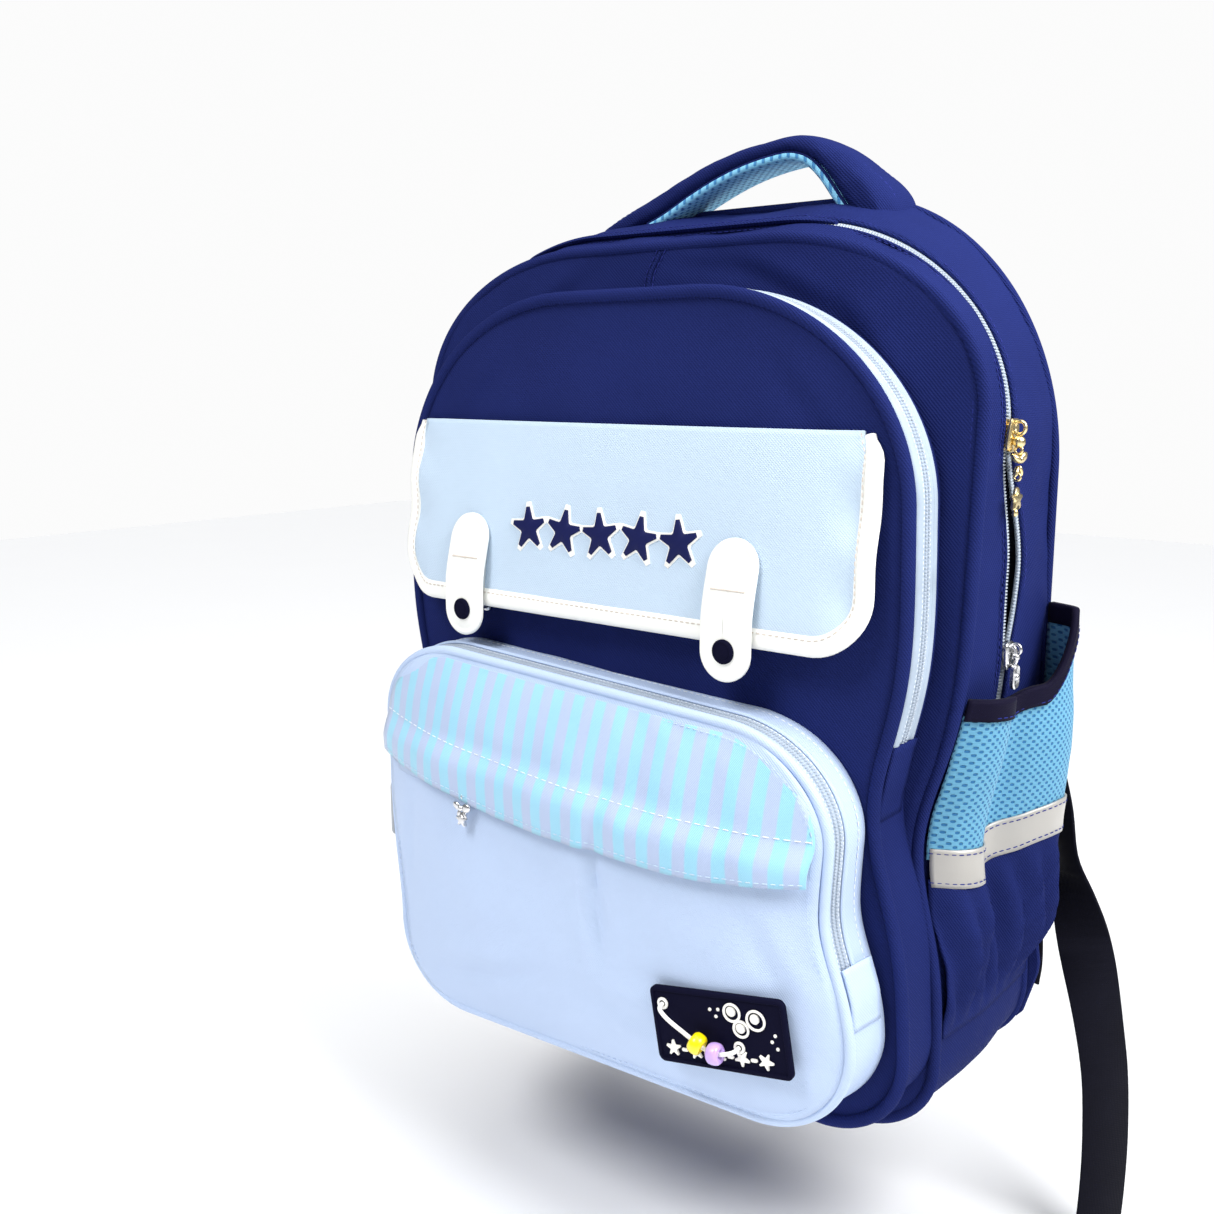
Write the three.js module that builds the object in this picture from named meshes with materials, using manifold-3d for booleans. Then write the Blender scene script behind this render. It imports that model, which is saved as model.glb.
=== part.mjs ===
// A child's school backpack: a zipped main compartment, a zipped middle compartment under a buckled flap,
// a zipped front pocket with a striped weather lip, two mesh side pockets, a padded handle and shoulder straps.
// Millimetres. +X is the right of someone looking at the bag's front, +Y points to the wearer's back, +Z is up.
// Everything is drawn with z = 0 near the bottom seam and y = 0 at the main front panel's edge, and the whole
// bag is then moved so that the origin lies under the middle of the top handle, where the bag hangs.
import * as THREE from 'three';
import { mergeVertices } from 'three/addons/utils/BufferGeometryUtils.js';
import Module from 'manifold-3d';

const wasm = await Module();
wasm.setup();

// ---------------------------------------------------------------------------- driving dimensions
// Each outline is one compartment's edge: the half width is low + slope * z, pinched by waist (fraction,
// height, spread), with elliptical corners of radii [across, up].
const MAIN = { low: 148.5, slope: 0.026, top: 387, bottom: -5, topR: [106, 74], botR: [38, 36], waist: [0.1, 130, 46] };
const BACK = { low: 152, slope: 0.018, top: 409, bottom: -5, topR: [103, 122], botR: [42, 42], waist: [0.03, 110, 50] };
const MID = { low: 150.5, slope: -0.035, top: 364, bottom: 7, topR: [100, 87], botR: [42, 40], waist: [0.1, 150, 45] };
const POCKET = { low: 134, slope: -0.02, top: 190, bottom: 10, topR: [50, 42], botR: [46, 42], waist: [0.02, 118, 30] };

const WALL = 2.2; // thickness of the padded shell fabric
const GAP = 0.4; // clearance between sewn neighbours
const PIPING_R = 2.8;
const Y_MID = -30; // edge plane of the middle compartment's panel
const Y_POCKET = -58; // edge plane of the front pocket's face
const MID_BULGE = 6;
const POCKET_BULGE = 16;
const ZIP_END_Z = 0.461; // place along a side where the main zip ends
const BACK_TOP_Y = 70; // depth of the back panel at BACK_TOP_Z, which leans outwards going down
const BACK_TOP_Z = 390;
const BACK_LEAN = 0.065;
const SIDE_BULGE = 1.5; // how far the main compartment's gusset bows out between its two seams

const FLAP = { x: -3, half: 127, rim: 7.5, top: 306, bottom: 217.5, corner: 22, yTop: -39, yBottom: -44, thick: 2.4 };
const TABS = { left: -86, right: 70 };
const TAB = { half: 12.5, top: 262, fold: 239.5, snap: 214.8, thick: 2.6, stand: 3.2 };
const HANDLE = { span: 73, foot: 414, y: 64, thick: 9, width: 28, lining: 3.5 };
const HANG = new THREE.Vector3(0, 64, 426);

// ---------------------------------------------------------------------------- colours
const NAVY = 0x26307a;
const SKY = 0xc4dff7;
const PALE = 0xc6d6f2;
const WHITE = 0xfafaf4;
const MESH_BLUE = 0x7cc0e6;
const INK = 0x1d1a3a;
const STEEL = 0xc9cdd2;

// ---------------------------------------------------------------------------- geometry helpers
const smooth = (t) => { const k = Math.min(1, Math.max(0, t)); return k * k * (3 - 2 * k); };
const lerp = THREE.MathUtils.lerp;
const v3 = (x, y, z) => new THREE.Vector3(x, y, z);
const range = (n) => [...Array(n).keys()];

function solid(points, faces) {
  // A closed mesh from points and triangles, turned so that its faces point out.
  let volume = 0;
  for (const [a, b, c] of faces) volume += points[a].dot(points[b].clone().cross(points[c]));
  const index = faces.flatMap(([a, b, c]) => (volume > 0 ? [a, b, c] : [a, c, b]));
  const geometry = new THREE.BufferGeometry();
  geometry.setAttribute('position', new THREE.Float32BufferAttribute(points.flatMap((p) => [p.x, p.y, p.z]), 3));
  geometry.setIndex(index);
  geometry.computeVertexNormals();
  return geometry;
}

function sweep(sections, closed = false) {
  // Joins equal rings of points one after another, either round to the first one or with flat ends.
  const n = sections.length;
  const k = sections[0].length;
  const faces = [];
  for (let i = 0; i < (closed ? n : n - 1); i++) {
    for (let j = 0; j < k; j++) {
      const a = i * k + j;
      const b = i * k + ((j + 1) % k);
      const c = ((i + 1) % n) * k + ((j + 1) % k);
      const d = ((i + 1) % n) * k + j;
      faces.push([a, b, c], [a, c, d]);
    }
  }
  if (!closed) {
    for (let j = 1; j < k - 1; j++) {
      faces.push([0, j + 1, j], [(n - 1) * k, (n - 1) * k + j, (n - 1) * k + j + 1]);
    }
  }
  return solid(sections.flat(), faces);
}

function sheet(front, back) {
  // A thick sheet between two equal grids of points.
  const rows = front.length;
  const cols = front[0].length;
  const points = [...front.flat(), ...back.flat()];
  const at = (side, i, j) => side * rows * cols + i * cols + j;
  const faces = [];
  const quad = (a, b, c, d) => faces.push([a, b, c], [a, c, d]);
  for (let i = 0; i < rows - 1; i++) {
    for (let j = 0; j < cols - 1; j++) {
      quad(at(0, i, j), at(0, i, j + 1), at(0, i + 1, j + 1), at(0, i + 1, j));
      quad(at(1, i, j), at(1, i + 1, j), at(1, i + 1, j + 1), at(1, i, j + 1));
    }
  }
  for (let j = 0; j < cols - 1; j++) {
    quad(at(0, 0, j), at(1, 0, j), at(1, 0, j + 1), at(0, 0, j + 1));
    quad(at(0, rows - 1, j), at(0, rows - 1, j + 1), at(1, rows - 1, j + 1), at(1, rows - 1, j));
  }
  for (let i = 0; i < rows - 1; i++) {
    quad(at(0, i, 0), at(0, i + 1, 0), at(1, i + 1, 0), at(1, i, 0));
    quad(at(0, i, cols - 1), at(1, i, cols - 1), at(1, i + 1, cols - 1), at(0, i + 1, cols - 1));
  }
  return solid(points, faces);
}

function slab(shape, y0, y1, segments = 6) {
  // A flat plate of a shape drawn in x and z, between two depths.
  const geometry = new THREE.ExtrudeGeometry(shape, { depth: y1 - y0, bevelEnabled: false, curveSegments: segments });
  return geometry.rotateX(Math.PI / 2).translate(0, y1, 0);
}

function merged(geometry) {
  // The same surface with shared vertices and nothing but positions.
  const bare = new THREE.BufferGeometry();
  bare.setAttribute('position', geometry.getAttribute('position').clone());
  if (geometry.getIndex()) bare.setIndex(geometry.getIndex().clone());
  return mergeVertices(bare, 1e-4);
}

function joined(first, ...others) {
  // The union of overlapping closed pieces.
  const body = (geometry) => {
    const clean = merged(geometry);
    return new wasm.Manifold(new wasm.Mesh({ numProp: 3, vertProperties: clean.getAttribute('position').array,
      triVerts: Uint32Array.from(clean.getIndex().array) }));
  };
  const { vertProperties, triVerts } = others.reduce((sum, piece) => sum.add(body(piece)), body(first)).getMesh();
  const geometry = new THREE.BufferGeometry();
  geometry.setAttribute('position', new THREE.BufferAttribute(vertProperties, 3));
  geometry.setIndex(new THREE.BufferAttribute(triVerts, 1));
  geometry.computeVertexNormals();
  return geometry;
}

function turned(profile, segments) {
  // A turned piece about the Y axis from [radius, y] pairs.
  return new THREE.LatheGeometry(profile.map(([r, y]) => new THREE.Vector2(r, y)), segments);
}

// ---------------------------------------------------------------------------- compartment outlines
function halfWidth(spec, z) {
  const [depth, height, spread] = spec.waist;
  return (spec.low + spec.slope * z) * (1 - depth * Math.exp(-(((z - height) / spread) ** 2)));
}

const CORNER_LOW = 0.15; // where the bottom corner, the side, the top corner and the top begin along half an outline
const SIDE_LOW = 0.35;
const SIDE_HIGH = 0.65;
const TOP_LOW = 0.9;

function edge(spec, u) {
  // A point of the right half of an outline, from bottom centre (u = 0) to top centre (u = 1).
  const [rx, rz] = spec.topR;
  const [bx, bz] = spec.botR;
  if (u < CORNER_LOW) {
    return { x: (halfWidth(spec, spec.bottom) - bx) * (u / CORNER_LOW), z: spec.bottom };
  }
  if (u < SIDE_LOW) {
    const a = ((u - CORNER_LOW) / (SIDE_LOW - CORNER_LOW)) * (Math.PI / 2);
    const z = spec.bottom + bz * (1 - Math.cos(a));
    return { x: halfWidth(spec, z) - bx * (1 - Math.sin(a)), z };
  }
  if (u <= SIDE_HIGH) {
    const z = lerp(spec.bottom + bz, spec.top - rz, (u - SIDE_LOW) / (SIDE_HIGH - SIDE_LOW));
    return { x: halfWidth(spec, z), z };
  }
  if (u < TOP_LOW) {
    const a = ((u - SIDE_HIGH) / (TOP_LOW - SIDE_HIGH)) * (Math.PI / 2);
    const z = spec.top - rz * (1 - Math.sin(a));
    return { x: halfWidth(spec, z) - rx * (1 - Math.cos(a)), z };
  }
  return { x: (halfWidth(spec, spec.top) - rx) * ((1 - u) / (1 - TOP_LOW)), z: spec.top };
}

function rim(spec, u, out = 0) {
  // The same point moved outwards along the outline's normal.
  const p = edge(spec, u);
  const a = edge(spec, Math.max(0, u - 0.01));
  const b = edge(spec, Math.min(1, u + 0.01));
  const length = Math.hypot(b.x - a.x, b.z - a.z);
  return { x: p.x + (out * (b.z - a.z)) / length, z: p.z - (out * (b.x - a.x)) / length };
}

const backY = (z) => BACK_TOP_Y + BACK_LEAN * (BACK_TOP_Z - z);

function flank(u, y, out = 0) {
  // A point on the main compartment's wall at depth y: it widens from the front outline to the back one.
  const a = rim(MAIN, u, out);
  const b = rim(BACK, u, out);
  const t = Math.min(1, y / backY(b.z));
  const bow = rim(MAIN, u, out + SIDE_BULGE * Math.sin(Math.PI * t));
  return { x: lerp(a.x, b.x, t) + bow.x - a.x, z: lerp(a.z, b.z, t) + bow.z - a.z };
}

const LOOP = [0, 0.09, 0.15, 0.2, 0.25, 0.3, 0.35, 0.41, 0.47, 0.53, 0.59, 0.65, 0.7, 0.75, 0.8, 0.85, 0.9, 1];

function around(us, section) {
  // Sections up the right half and back down the left one, where x changes sign.
  const right = us.map((u) => section(u, 1));
  const left = us.map((u) => section(u, -1));
  const mirrored = left.reverse().map((points) => points.map((p) => v3(-p.x, p.y, p.z)));
  return [...right, ...mirrored.slice(us[us.length - 1] === 1 ? 1 : 0)];
}

function band(place, us, y0, y1, inner, outer) {
  // A strip of wall from depth y0 to y1, which are functions of the place along the outline and the side.
  const isLoop = us[0] === 0 && us[us.length - 1] === 1;
  const section = (u, side) => [[y0, outer], [y1, outer], [y1, inner], [y0, inner]].map(([y, out]) => {
    const depth = y(u, side);
    const p = place(u, depth, out);
    return v3(p.x, depth, p.z);
  });
  const sections = around(us, section);
  if (isLoop) sections.pop();
  return sweep(sections, isLoop);
}

function piping(spec, y, radius, out) {
  // A round cord sewn along an outline.
  const section = (u) => range(6).map((i) => {
    const a = (i * Math.PI) / 3;
    const p = rim(spec, u, out + radius * Math.cos(a));
    return v3(p.x, y + radius * Math.sin(a), p.z);
  });
  const sections = around(LOOP, section);
  sections.pop();
  return sweep(sections, true);
}

function dome(spec, out, yAt, thick, rings) {
  // A thin panel inside an outline whose depth is yAt(x, z).
  const rimPoints = around(LOOP, (u) => { const p = rim(spec, u, out); return [v3(p.x, 0, p.z)]; }).flat();
  rimPoints.pop();
  const middle = (spec.top + spec.bottom) / 2;
  const n = rimPoints.length;
  const layer = (dy) => [...rings.flatMap((k) => rimPoints.map((p) => {
    const x = p.x * k;
    const z = middle + (p.z - middle) * k;
    return v3(x, yAt(x, z) + dy, z);
  })), v3(0, yAt(0, middle) + dy, middle)];
  const points = [...layer(0), ...layer(thick)];
  const half = rings.length * n + 1;
  const faces = [];
  for (const side of [0, 1]) {
    for (let i = 0; i < n; i++) {
      const j = (i + 1) % n;
      const tri = (a, b, c) => faces.push(side ? [a, c, b] : [a, b, c]);
      for (let r = 0; r < rings.length - 1; r++) {
        const o = side * half + r * n;
        tri(o + i, o + j, o + n + j);
        tri(o + i, o + n + j, o + n + i);
      }
      const last = side * half + (rings.length - 1) * n;
      tri(last + i, last + j, side * half + half - 1);
    }
  }
  for (let i = 0; i < n; i++) {
    const j = (i + 1) % n;
    faces.push([i, half + i, half + j], [i, half + j, j]);
  }
  return solid(points, faces);
}

// ---------------------------------------------------------------------------- the scene graph
const bag = new THREE.Group();
bag.name = 'school_backpack';
bag.position.copy(HANG).negate();

function add(name, geometry, color, roughness = 0.8, metalness = 0) {
  const mesh = new THREE.Mesh(geometry, new THREE.MeshStandardMaterial({ color, roughness, metalness }));
  mesh.name = name;
  bag.add(mesh);
  return mesh;
}

// ---------------------------------------------------------------------------- main compartment
const zipY = (z) => 20 + 14 * smooth((300 - z) / 50); // the main zip's line drifts back going down the sides
const TAPE = 5.4; // each zip tape's width
const SLIT = { low: 212, high: 299, open: 4.8 }; // the unzipped stretch of the right side
const upperUs = [ZIP_END_Z, 0.49, 0.52, 0.55, 0.58, 0.61, 0.64, 0.67, 0.71, 0.75, 0.8, 0.85, 0.9, 1];
const lowerUs = [0, 0.09, 0.15, 0.2, 0.25, 0.3, 0.35, 0.375, 0.4, 0.43, ZIP_END_Z - 0.003];

function zipLine(u) {
  return zipY(flank(u, 25).z);
}

function parted(u, side) {
  // Half the gap between the two main tapes: open between the two sliders on the right side only.
  const t = (flank(u, 30).z - SLIT.low) / (SLIT.high - SLIT.low);
  return side > 0 && t > 0 && t < 1 ? SLIT.open * Math.sin(Math.PI * t) : 0;
}

const behindZip = (d) => (u, side) => zipLine(u) + parted(u, side) + d;
const beforeZip = (d) => (u, side) => zipLine(u) - parted(u, side) - d;
const fixedY = (y) => () => y;
const toBack = (d) => (u) => backY(edge(BACK, u).z) - d;

add('front_gusset', band(flank, upperUs, fixedY(PIPING_R + GAP), beforeZip(TAPE + 2 * GAP), -WALL, 0), NAVY);
add('main_zip_front_tape', band(flank, upperUs, beforeZip(TAPE + GAP), beforeZip(GAP / 2), -WALL, -0.6), 0xb9c8da);
add('main_zip_rear_tape', band(flank, upperUs, behindZip(GAP / 2), behindZip(TAPE + GAP), -WALL, -0.6), 0xb9c8da);
add('rear_gusset', band(flank, upperUs, behindZip(TAPE + 2 * GAP), toBack(GAP), -WALL, 0), NAVY);
add('base_gusset', band(flank, lowerUs, fixedY(PIPING_R + GAP), toBack(GAP), -WALL, 0), NAVY);
add('main_front_panel', dome(MAIN, -PIPING_R - GAP, () => -1, WALL, [1, 0.6]), NAVY);
add('main_piping', piping(MAIN, 0, PIPING_R, 0), NAVY, 0.6);
add('back_panel', dome(BACK, 0, (x, z) => backY(z), WALL, [1, 0.6]), NAVY);

function padBlock(half, low, high, depth, inner, rows, cols) {
  // A cushion block on the back panel with rounded edges: deepest in its middle.
  const grid = (crown) => range(rows).map((i) => range(cols).map((j) => {
    const z = lerp(low, high, i / (rows - 1));
    const x = lerp(-half, half, j / (cols - 1));
    const fade = (1 - (2 * j / (cols - 1) - 1) ** 6) * (1 - (2 * i / (rows - 1) - 1) ** 6);
    return v3(x, backY(z) + inner + crown * (0.35 + 0.65 * fade), z);
  }));
  return sheet(grid(depth), range(rows).map((i) => range(cols).map((j) => {
    const z = lerp(low, high, i / (rows - 1));
    return v3(lerp(-half, half, j / (cols - 1)), backY(z) + inner, z);
  })));
}

add('back_padding', padBlock(112, 62, 338, 9, WALL + GAP, 7, 7), 0x3a5f9c, 0.95);
add('strap_yoke', padBlock(74, 344, 386, 3.5, WALL + GAP, 3, 5), NAVY);

// ---------------------------------------------------------------------------- middle compartment
const midPlace = (u, y, out) => rim(MID, u, out);
const midY = (x, z) => Y_MID - MID_BULGE * (1 - (x / 146) ** 2) * (1 - ((z - 184) / 184) ** 2);
const midUs = LOOP.filter((u) => u > 0.5);

add('mid_gusset', band(midPlace, LOOP, fixedY(Y_MID + PIPING_R + GAP), fixedY(-3.4), -WALL, 0), NAVY);
add('mid_zip', band(midPlace, midUs, fixedY(Y_MID + 5), fixedY(Y_MID + 19), 0.4, 1.8), 0xb9c8da);
add('mid_front_panel', dome(MID, -PIPING_R - GAP, midY, WALL, [1, 0.75, 0.4]), NAVY);
add('mid_piping', piping(MID, Y_MID, PIPING_R, 0), NAVY, 0.6);

// ---------------------------------------------------------------------------- front pocket
const POCKET_MID = (POCKET.top + POCKET.bottom) / 2;
const POCKET_HALF = (POCKET.top - POCKET.bottom) / 2;

function pocketY(x, z) {
  // The depth of the front pocket's crowned face.
  const across = Math.min(1, Math.abs(x / 134)) ** 4;
  const up = Math.min(1, Math.abs((z - POCKET_MID) / POCKET_HALF)) ** 3;
  return Y_POCKET - POCKET_BULGE * (1 - across) * (1 - up);
}

const pocketPlace = (u, y, out) => rim(POCKET, u, out + (y - Y_POCKET) * 0.12);

function settled(p) {
  // The filled pocket sags to one side: its foot leans right and lifts there, its top corner drops there.
  const x = p.x + lerp(6, -4, smooth((p.z - 50) / 70));
  const drop = lerp(-0.055, 0.05, smooth((p.z - 40) / 110));
  return v3(x, p.y, p.z - drop * p.x);
}

function settle(geometry) {
  const position = geometry.getAttribute('position');
  for (let i = 0; i < position.count; i++) {
    const p = settled(v3(position.getX(i), position.getY(i), position.getZ(i)));
    position.setXYZ(i, p.x, p.y, p.z);
  }
  geometry.computeVertexNormals();
  return geometry;
}
const pocketUs = LOOP.filter((u) => u > 0.45);

add('pocket_gusset', settle(band(pocketPlace, LOOP, fixedY(Y_POCKET + 2.9), fixedY(Y_MID - MID_BULGE - 0.6), -WALL, 0)), PALE);
add('pocket_zip', settle(band(pocketPlace, pocketUs, fixedY(Y_POCKET + 4), fixedY(Y_POCKET + 15), 0.4, 1.8)), 0xb9c8da);
add('pocket_face', settle(dome(POCKET, -2.9, pocketY, WALL, [1, 0.88, 0.7, 0.4])), PALE);
add('pocket_piping', settle(piping(POCKET, Y_POCKET, 2.4, 0)), PALE, 0.6);

function overlay(xs, zs, stand, thick, level = false) {
  // A layer lying a little in front of the pocket's face, and level on the sagging pocket if asked.
  const height = (x, z) => z + (level ? 0.047 * x : 0);
  const grid = (d) => zs.map((z) => xs(z).map((x) => v3(x, pocketY(x, height(x, z)) - d, height(x, z))));
  return settle(sheet(grid(stand + thick), grid(stand)));
}

const SLIT_STAND = 1.5; // how far the slit zip and the lip over it lie in front of the pocket's face
const LIP_STAND = 6.7;
const across = (half, n) => (z) => range(n).map((i) => half(z) * ((2 * i) / (n - 1) - 1));
const stripedHalf = (z) => {
  const rise = Math.max(0, z - (POCKET.top - POCKET.topR[1])) / POCKET.topR[1];
  return halfWidth(POCKET, z) - 5 - POCKET.topR[0] * (1 - Math.sqrt(1 - rise * rise));
};

add('striped_panel', overlay(across(stripedHalf, 9), [151.5, 164, 176, 184], 1.8, 1.2), 0xbfe3fb);
add('striped_lip', overlay(across((z) => 126 - (150 - z) * 0.02, 9), [127, 138, 149.5], LIP_STAND, 1.2, true), 0xbfe3fb);
add('slit_zip', overlay(across(() => 104, 5), [134, 146], SLIT_STAND, 0.8, true), 0xb9c8da);

// ---------------------------------------------------------------------------- rubber patch with its cord and beads
const patch = new THREE.Group();
patch.position.set(86.5, -73.2, 58);
patch.rotation.set(0, THREE.MathUtils.degToRad(-10), THREE.MathUtils.degToRad(5), 'ZYX');
bag.add(patch);

function roundedRect(halfX, halfZ, r) {
  const s = new THREE.Shape();
  s.moveTo(-halfX + r, -halfZ);
  s.lineTo(halfX - r, -halfZ).absarc(halfX - r, -halfZ + r, r, -Math.PI / 2, 0, false);
  s.lineTo(halfX, halfZ - r).absarc(halfX - r, halfZ - r, r, 0, Math.PI / 2, false);
  s.lineTo(-halfX + r, halfZ).absarc(-halfX + r, halfZ - r, r, Math.PI / 2, Math.PI, false);
  s.lineTo(-halfX, -halfZ + r).absarc(-halfX + r, -halfZ + r, r, Math.PI, 1.5 * Math.PI, false);
  return s;
}

const onPatch = (name, geometry, color, roughness) => patch.add(add(name, geometry, color, roughness));
onPatch('rubber_patch', slab(roundedRect(32.5, 17, 3), -1.2, 1.2, 3), INK, 0.5);

const BEAD_Y = -6.2; // the cord runs this far in front of the patch's middle
const cordRoute = [v3(-26.5, -1.7, 9.5), v3(-26, -5, 8.4), v3(-22, BEAD_Y, 5), v3(-14, BEAD_Y, -0.5), v3(-6.5, BEAD_Y, -5.4),
  v3(-1.5, BEAD_Y, -7.2), v3(3.5, BEAD_Y, -7.2), v3(8, -5, -6.2), v3(9, -1.7, -5.6)];
const CORD_R = 0.9;
const bar = new THREE.Shape().absarc(0, 0, CORD_R, 0, 2 * Math.PI, false);
const cordCurve = new THREE.CatmullRomCurve3(cordRoute);
onPatch('bead_cord', new THREE.ExtrudeGeometry(bar, { steps: 22, curveSegments: 4, extrudePath: cordCurve }), WHITE, 0.5);

function bead(name, x, z, tilt, color) {
  const ring = [[1.9, -3], [3.6, -3], [4.6, -1.4], [4.6, 1.4], [3.6, 3], [1.9, 3], [1.9, -3]];
  const geometry = turned(ring, 10).rotateZ(Math.PI / 2).rotateY(tilt).translate(x, BEAD_Y, z);
  onPatch(name, geometry, color, 0.3);
}

bead('yellow_bead', -8.6, -4.1, 0.57, 0xf7e600);
bead('lilac_bead', -0.4, -7.4, 0.05, 0xc9a6ee);

// ---------------------------------------------------------------------------- flap and its closure tabs
const flapY = (z) => lerp(FLAP.yTop, FLAP.yBottom, (FLAP.top - z) / (FLAP.top - FLAP.bottom));

function lean(geometry) {
  // Shears a plate drawn at x = y = 0 onto the flap's slightly slanted plane.
  const position = geometry.getAttribute('position');
  for (let i = 0; i < position.count; i++) position.setY(i, position.getY(i) + flapY(position.getZ(i)));
  return geometry.translate(FLAP.x, 0, 0);
}

function flapOutline(grow) {
  const half = FLAP.half + grow;
  const low = FLAP.bottom + FLAP.rim - grow;
  const r = FLAP.corner - FLAP.rim + grow;
  const s = new THREE.Shape();
  s.moveTo(-half, FLAP.top);
  s.lineTo(-half, low + r).absarc(-half + r, low + r, r, Math.PI, 1.5 * Math.PI, false);
  s.lineTo(half - r, low).absarc(half - r, low + r, r, 1.5 * Math.PI, 2 * Math.PI, false);
  s.lineTo(half, FLAP.top);
  return s;
}

const rimShape = flapOutline(FLAP.rim + GAP);
const innerRim = flapOutline(GAP).getPoints(6).reverse();
const flapRim = new THREE.Shape([...rimShape.getPoints(6), ...innerRim]);
add('flap_binding', lean(slab(flapRim, -0.8, FLAP.thick + 0.8)), WHITE, 0.6);

function starRow(count, pitch, outer) {
  // A strip with pointed bumps above and below, standing for a row of joined stars.
  const points = [];
  const half = (count * pitch) / 2;
  for (const side of [-1, 1]) {
    range(count).forEach((i) => {
      const x = side * (-half + i * pitch);
      points.push(new THREE.Vector2(x, (side * outer) / 2));
      points.push(new THREE.Vector2(x + (side * pitch) / 2, side * outer));
    });
  }
  return new THREE.Shape(points);
}

const motif = lean(slab(starRow(5, 21, 11.5), -1.2, 0).translate(0, -GAP, 257));
add('flap_motif', motif, NAVY, 0.6);

const TAB_Y = flapY(TAB.snap) - TAB.stand; // the tabs' back face
const tabRoots = []; // the tabs' upper halves, sewn through to the flap

function tabShape(low, high, roundLow) {
  const s = new THREE.Shape();
  if (roundLow) {
    s.absarc(0, low + TAB.half, TAB.half, Math.PI, 2 * Math.PI, false);
    s.lineTo(TAB.half, high).lineTo(-TAB.half, high);
    const hole = new THREE.Path().absarc(0, TAB.snap, 3.4, 0, 2 * Math.PI, false);
    s.holes.push(hole);
  } else {
    s.moveTo(-TAB.half, low).lineTo(TAB.half, low);
    s.absarc(0, high - TAB.half, TAB.half, 0, Math.PI, false);
  }
  return s;
}

for (const [side, x] of Object.entries(TABS)) {
  const foot = tabShape(TAB.snap - TAB.half, TAB.fold - GAP, true);
  add(`closure_tab_${side}`, slab(foot, TAB_Y - TAB.thick, TAB_Y, 8).translate(x, 0, 0), WHITE, 0.45);
  const root = slab(tabShape(TAB.fold, TAB.top, false), TAB_Y - TAB.thick, flapY(TAB.top) + 1, 8);
  tabRoots.push(root.translate(x, 0, 0));
  const front = TAB_Y - TAB.thick;
  const cap = [[0, front - 1.5], [5, front - 1.5], [5.6, front - 0.9], [5.6, front - 0.3], [3.1, front - 0.3],
    [3.1, TAB_Y + 1.4], [2.4, TAB_Y + 1.4], [2.4, front + 0.6], [0, front + 0.6]];
  add(`snap_cap_${side}`, turned(cap, 12).translate(x, 0, TAB.snap), 0x23264f, 0.35);
  const base = midY(x, TAB.snap);
  const stud = [[0, TAB_Y - 0.4], [1.9, TAB_Y - 0.4], [1.9, base - 1.2], [5.4, base - 1.2], [5.4, base - 0.4],
    [0, base - 0.4]];
  add(`snap_stud_${side}`, turned(stud, 12).translate(x, 0, TAB.snap), STEEL, 0.35, 1);
}

add('flap_panel', joined(lean(slab(flapOutline(0), 0, FLAP.thick)), ...tabRoots), SKY);

// ---------------------------------------------------------------------------- side pockets
const POCKET_LOW = 46;
const pocketPlan = [ // [share of the way back, how far it stands off the wall] from the front seam to the back one
  [0.04, 1.6], [0.12, 11], [0.26, 12], [0.4, 4], [0.5, 5], [0.62, 12], [0.78, 17], [0.9, 15], [0.975, 1.8]];
const pocketTop = (t) => 196 - 4 * Math.exp(-(((t - 0.42) / 0.12) ** 2)) + 30 * smooth((t - 0.62) / 0.3);

function sideAt(t, z, out) {
  // A point beside the wall at height z and share t of the way from the front seam to the back seam.
  const y = t * backY(z);
  let low = 0.15;
  let high = SIDE_HIGH;
  for (let i = 0; i < 24; i++) {
    const mid = (low + high) / 2;
    if (flank(mid, y).z < z) low = mid; else high = mid;
  }
  return v3(flank(low, y).x + out, y, z);
}

function pocketSheet(rows, from, to, lift, thick) {
  const grid = (d) => range(rows).map((i) => pocketPlan.map(([t, stand]) => {
    const z = lerp(from(t), to(t), i / (rows - 1));
    const full = smooth((z - POCKET_LOW) / 60) * (1 - 0.25 * smooth((z - 150) / 60));
    return sideAt(t, z, 1 + stand * full + lift + d);
  }));
  return sheet(grid(thick), grid(0));
}

const mirrorX = (geometry) => {
  // The left-hand copy: x changes sign, and each triangle is turned round to face out again.
  const copy = geometry.clone().scale(-1, 1, 1);
  const index = copy.getIndex().array;
  for (let i = 0; i < index.length; i += 3) [index[i], index[i + 1]] = [index[i + 1], index[i]];
  copy.computeVertexNormals();
  return copy;
};

function pair(name, geometry, color, roughness, metalness) {
  add(`${name}_right`, geometry, color, roughness, metalness);
  add(`${name}_left`, mirrorX(geometry), color, roughness, metalness);
}

const bindingLow = (t) => pocketTop(t) - 9;
pair('side_pocket', pocketSheet(7, () => POCKET_LOW, (t) => bindingLow(t) - GAP, 0, 2), MESH_BLUE, 0.9);
pair('side_pocket_binding', pocketSheet(2, bindingLow, pocketTop, -0.3, 2.8), INK, 0.8);
const stripLow = (t) => 112 + 12 * smooth((t - 0.3) / 0.5);
pair('reflective_strip', pocketSheet(3, stripLow, (t) => stripLow(t) + 17, 3.2, 0.7), 0xc8c3b9, 0.35);

// ---------------------------------------------------------------------------- top handle
const handleCurve = new THREE.CatmullRomCurve3([v3(-HANDLE.span, 0, HANDLE.foot), v3(-58, 0, 415.5), v3(-40, 0, 420.5),
  v3(-18, 0, 427.5), v3(6, 0, 432.5), v3(30, 0, 434), v3(52, 0, 429), v3(67, 0, 420), v3(HANDLE.span, 0, HANDLE.foot)]);

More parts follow.
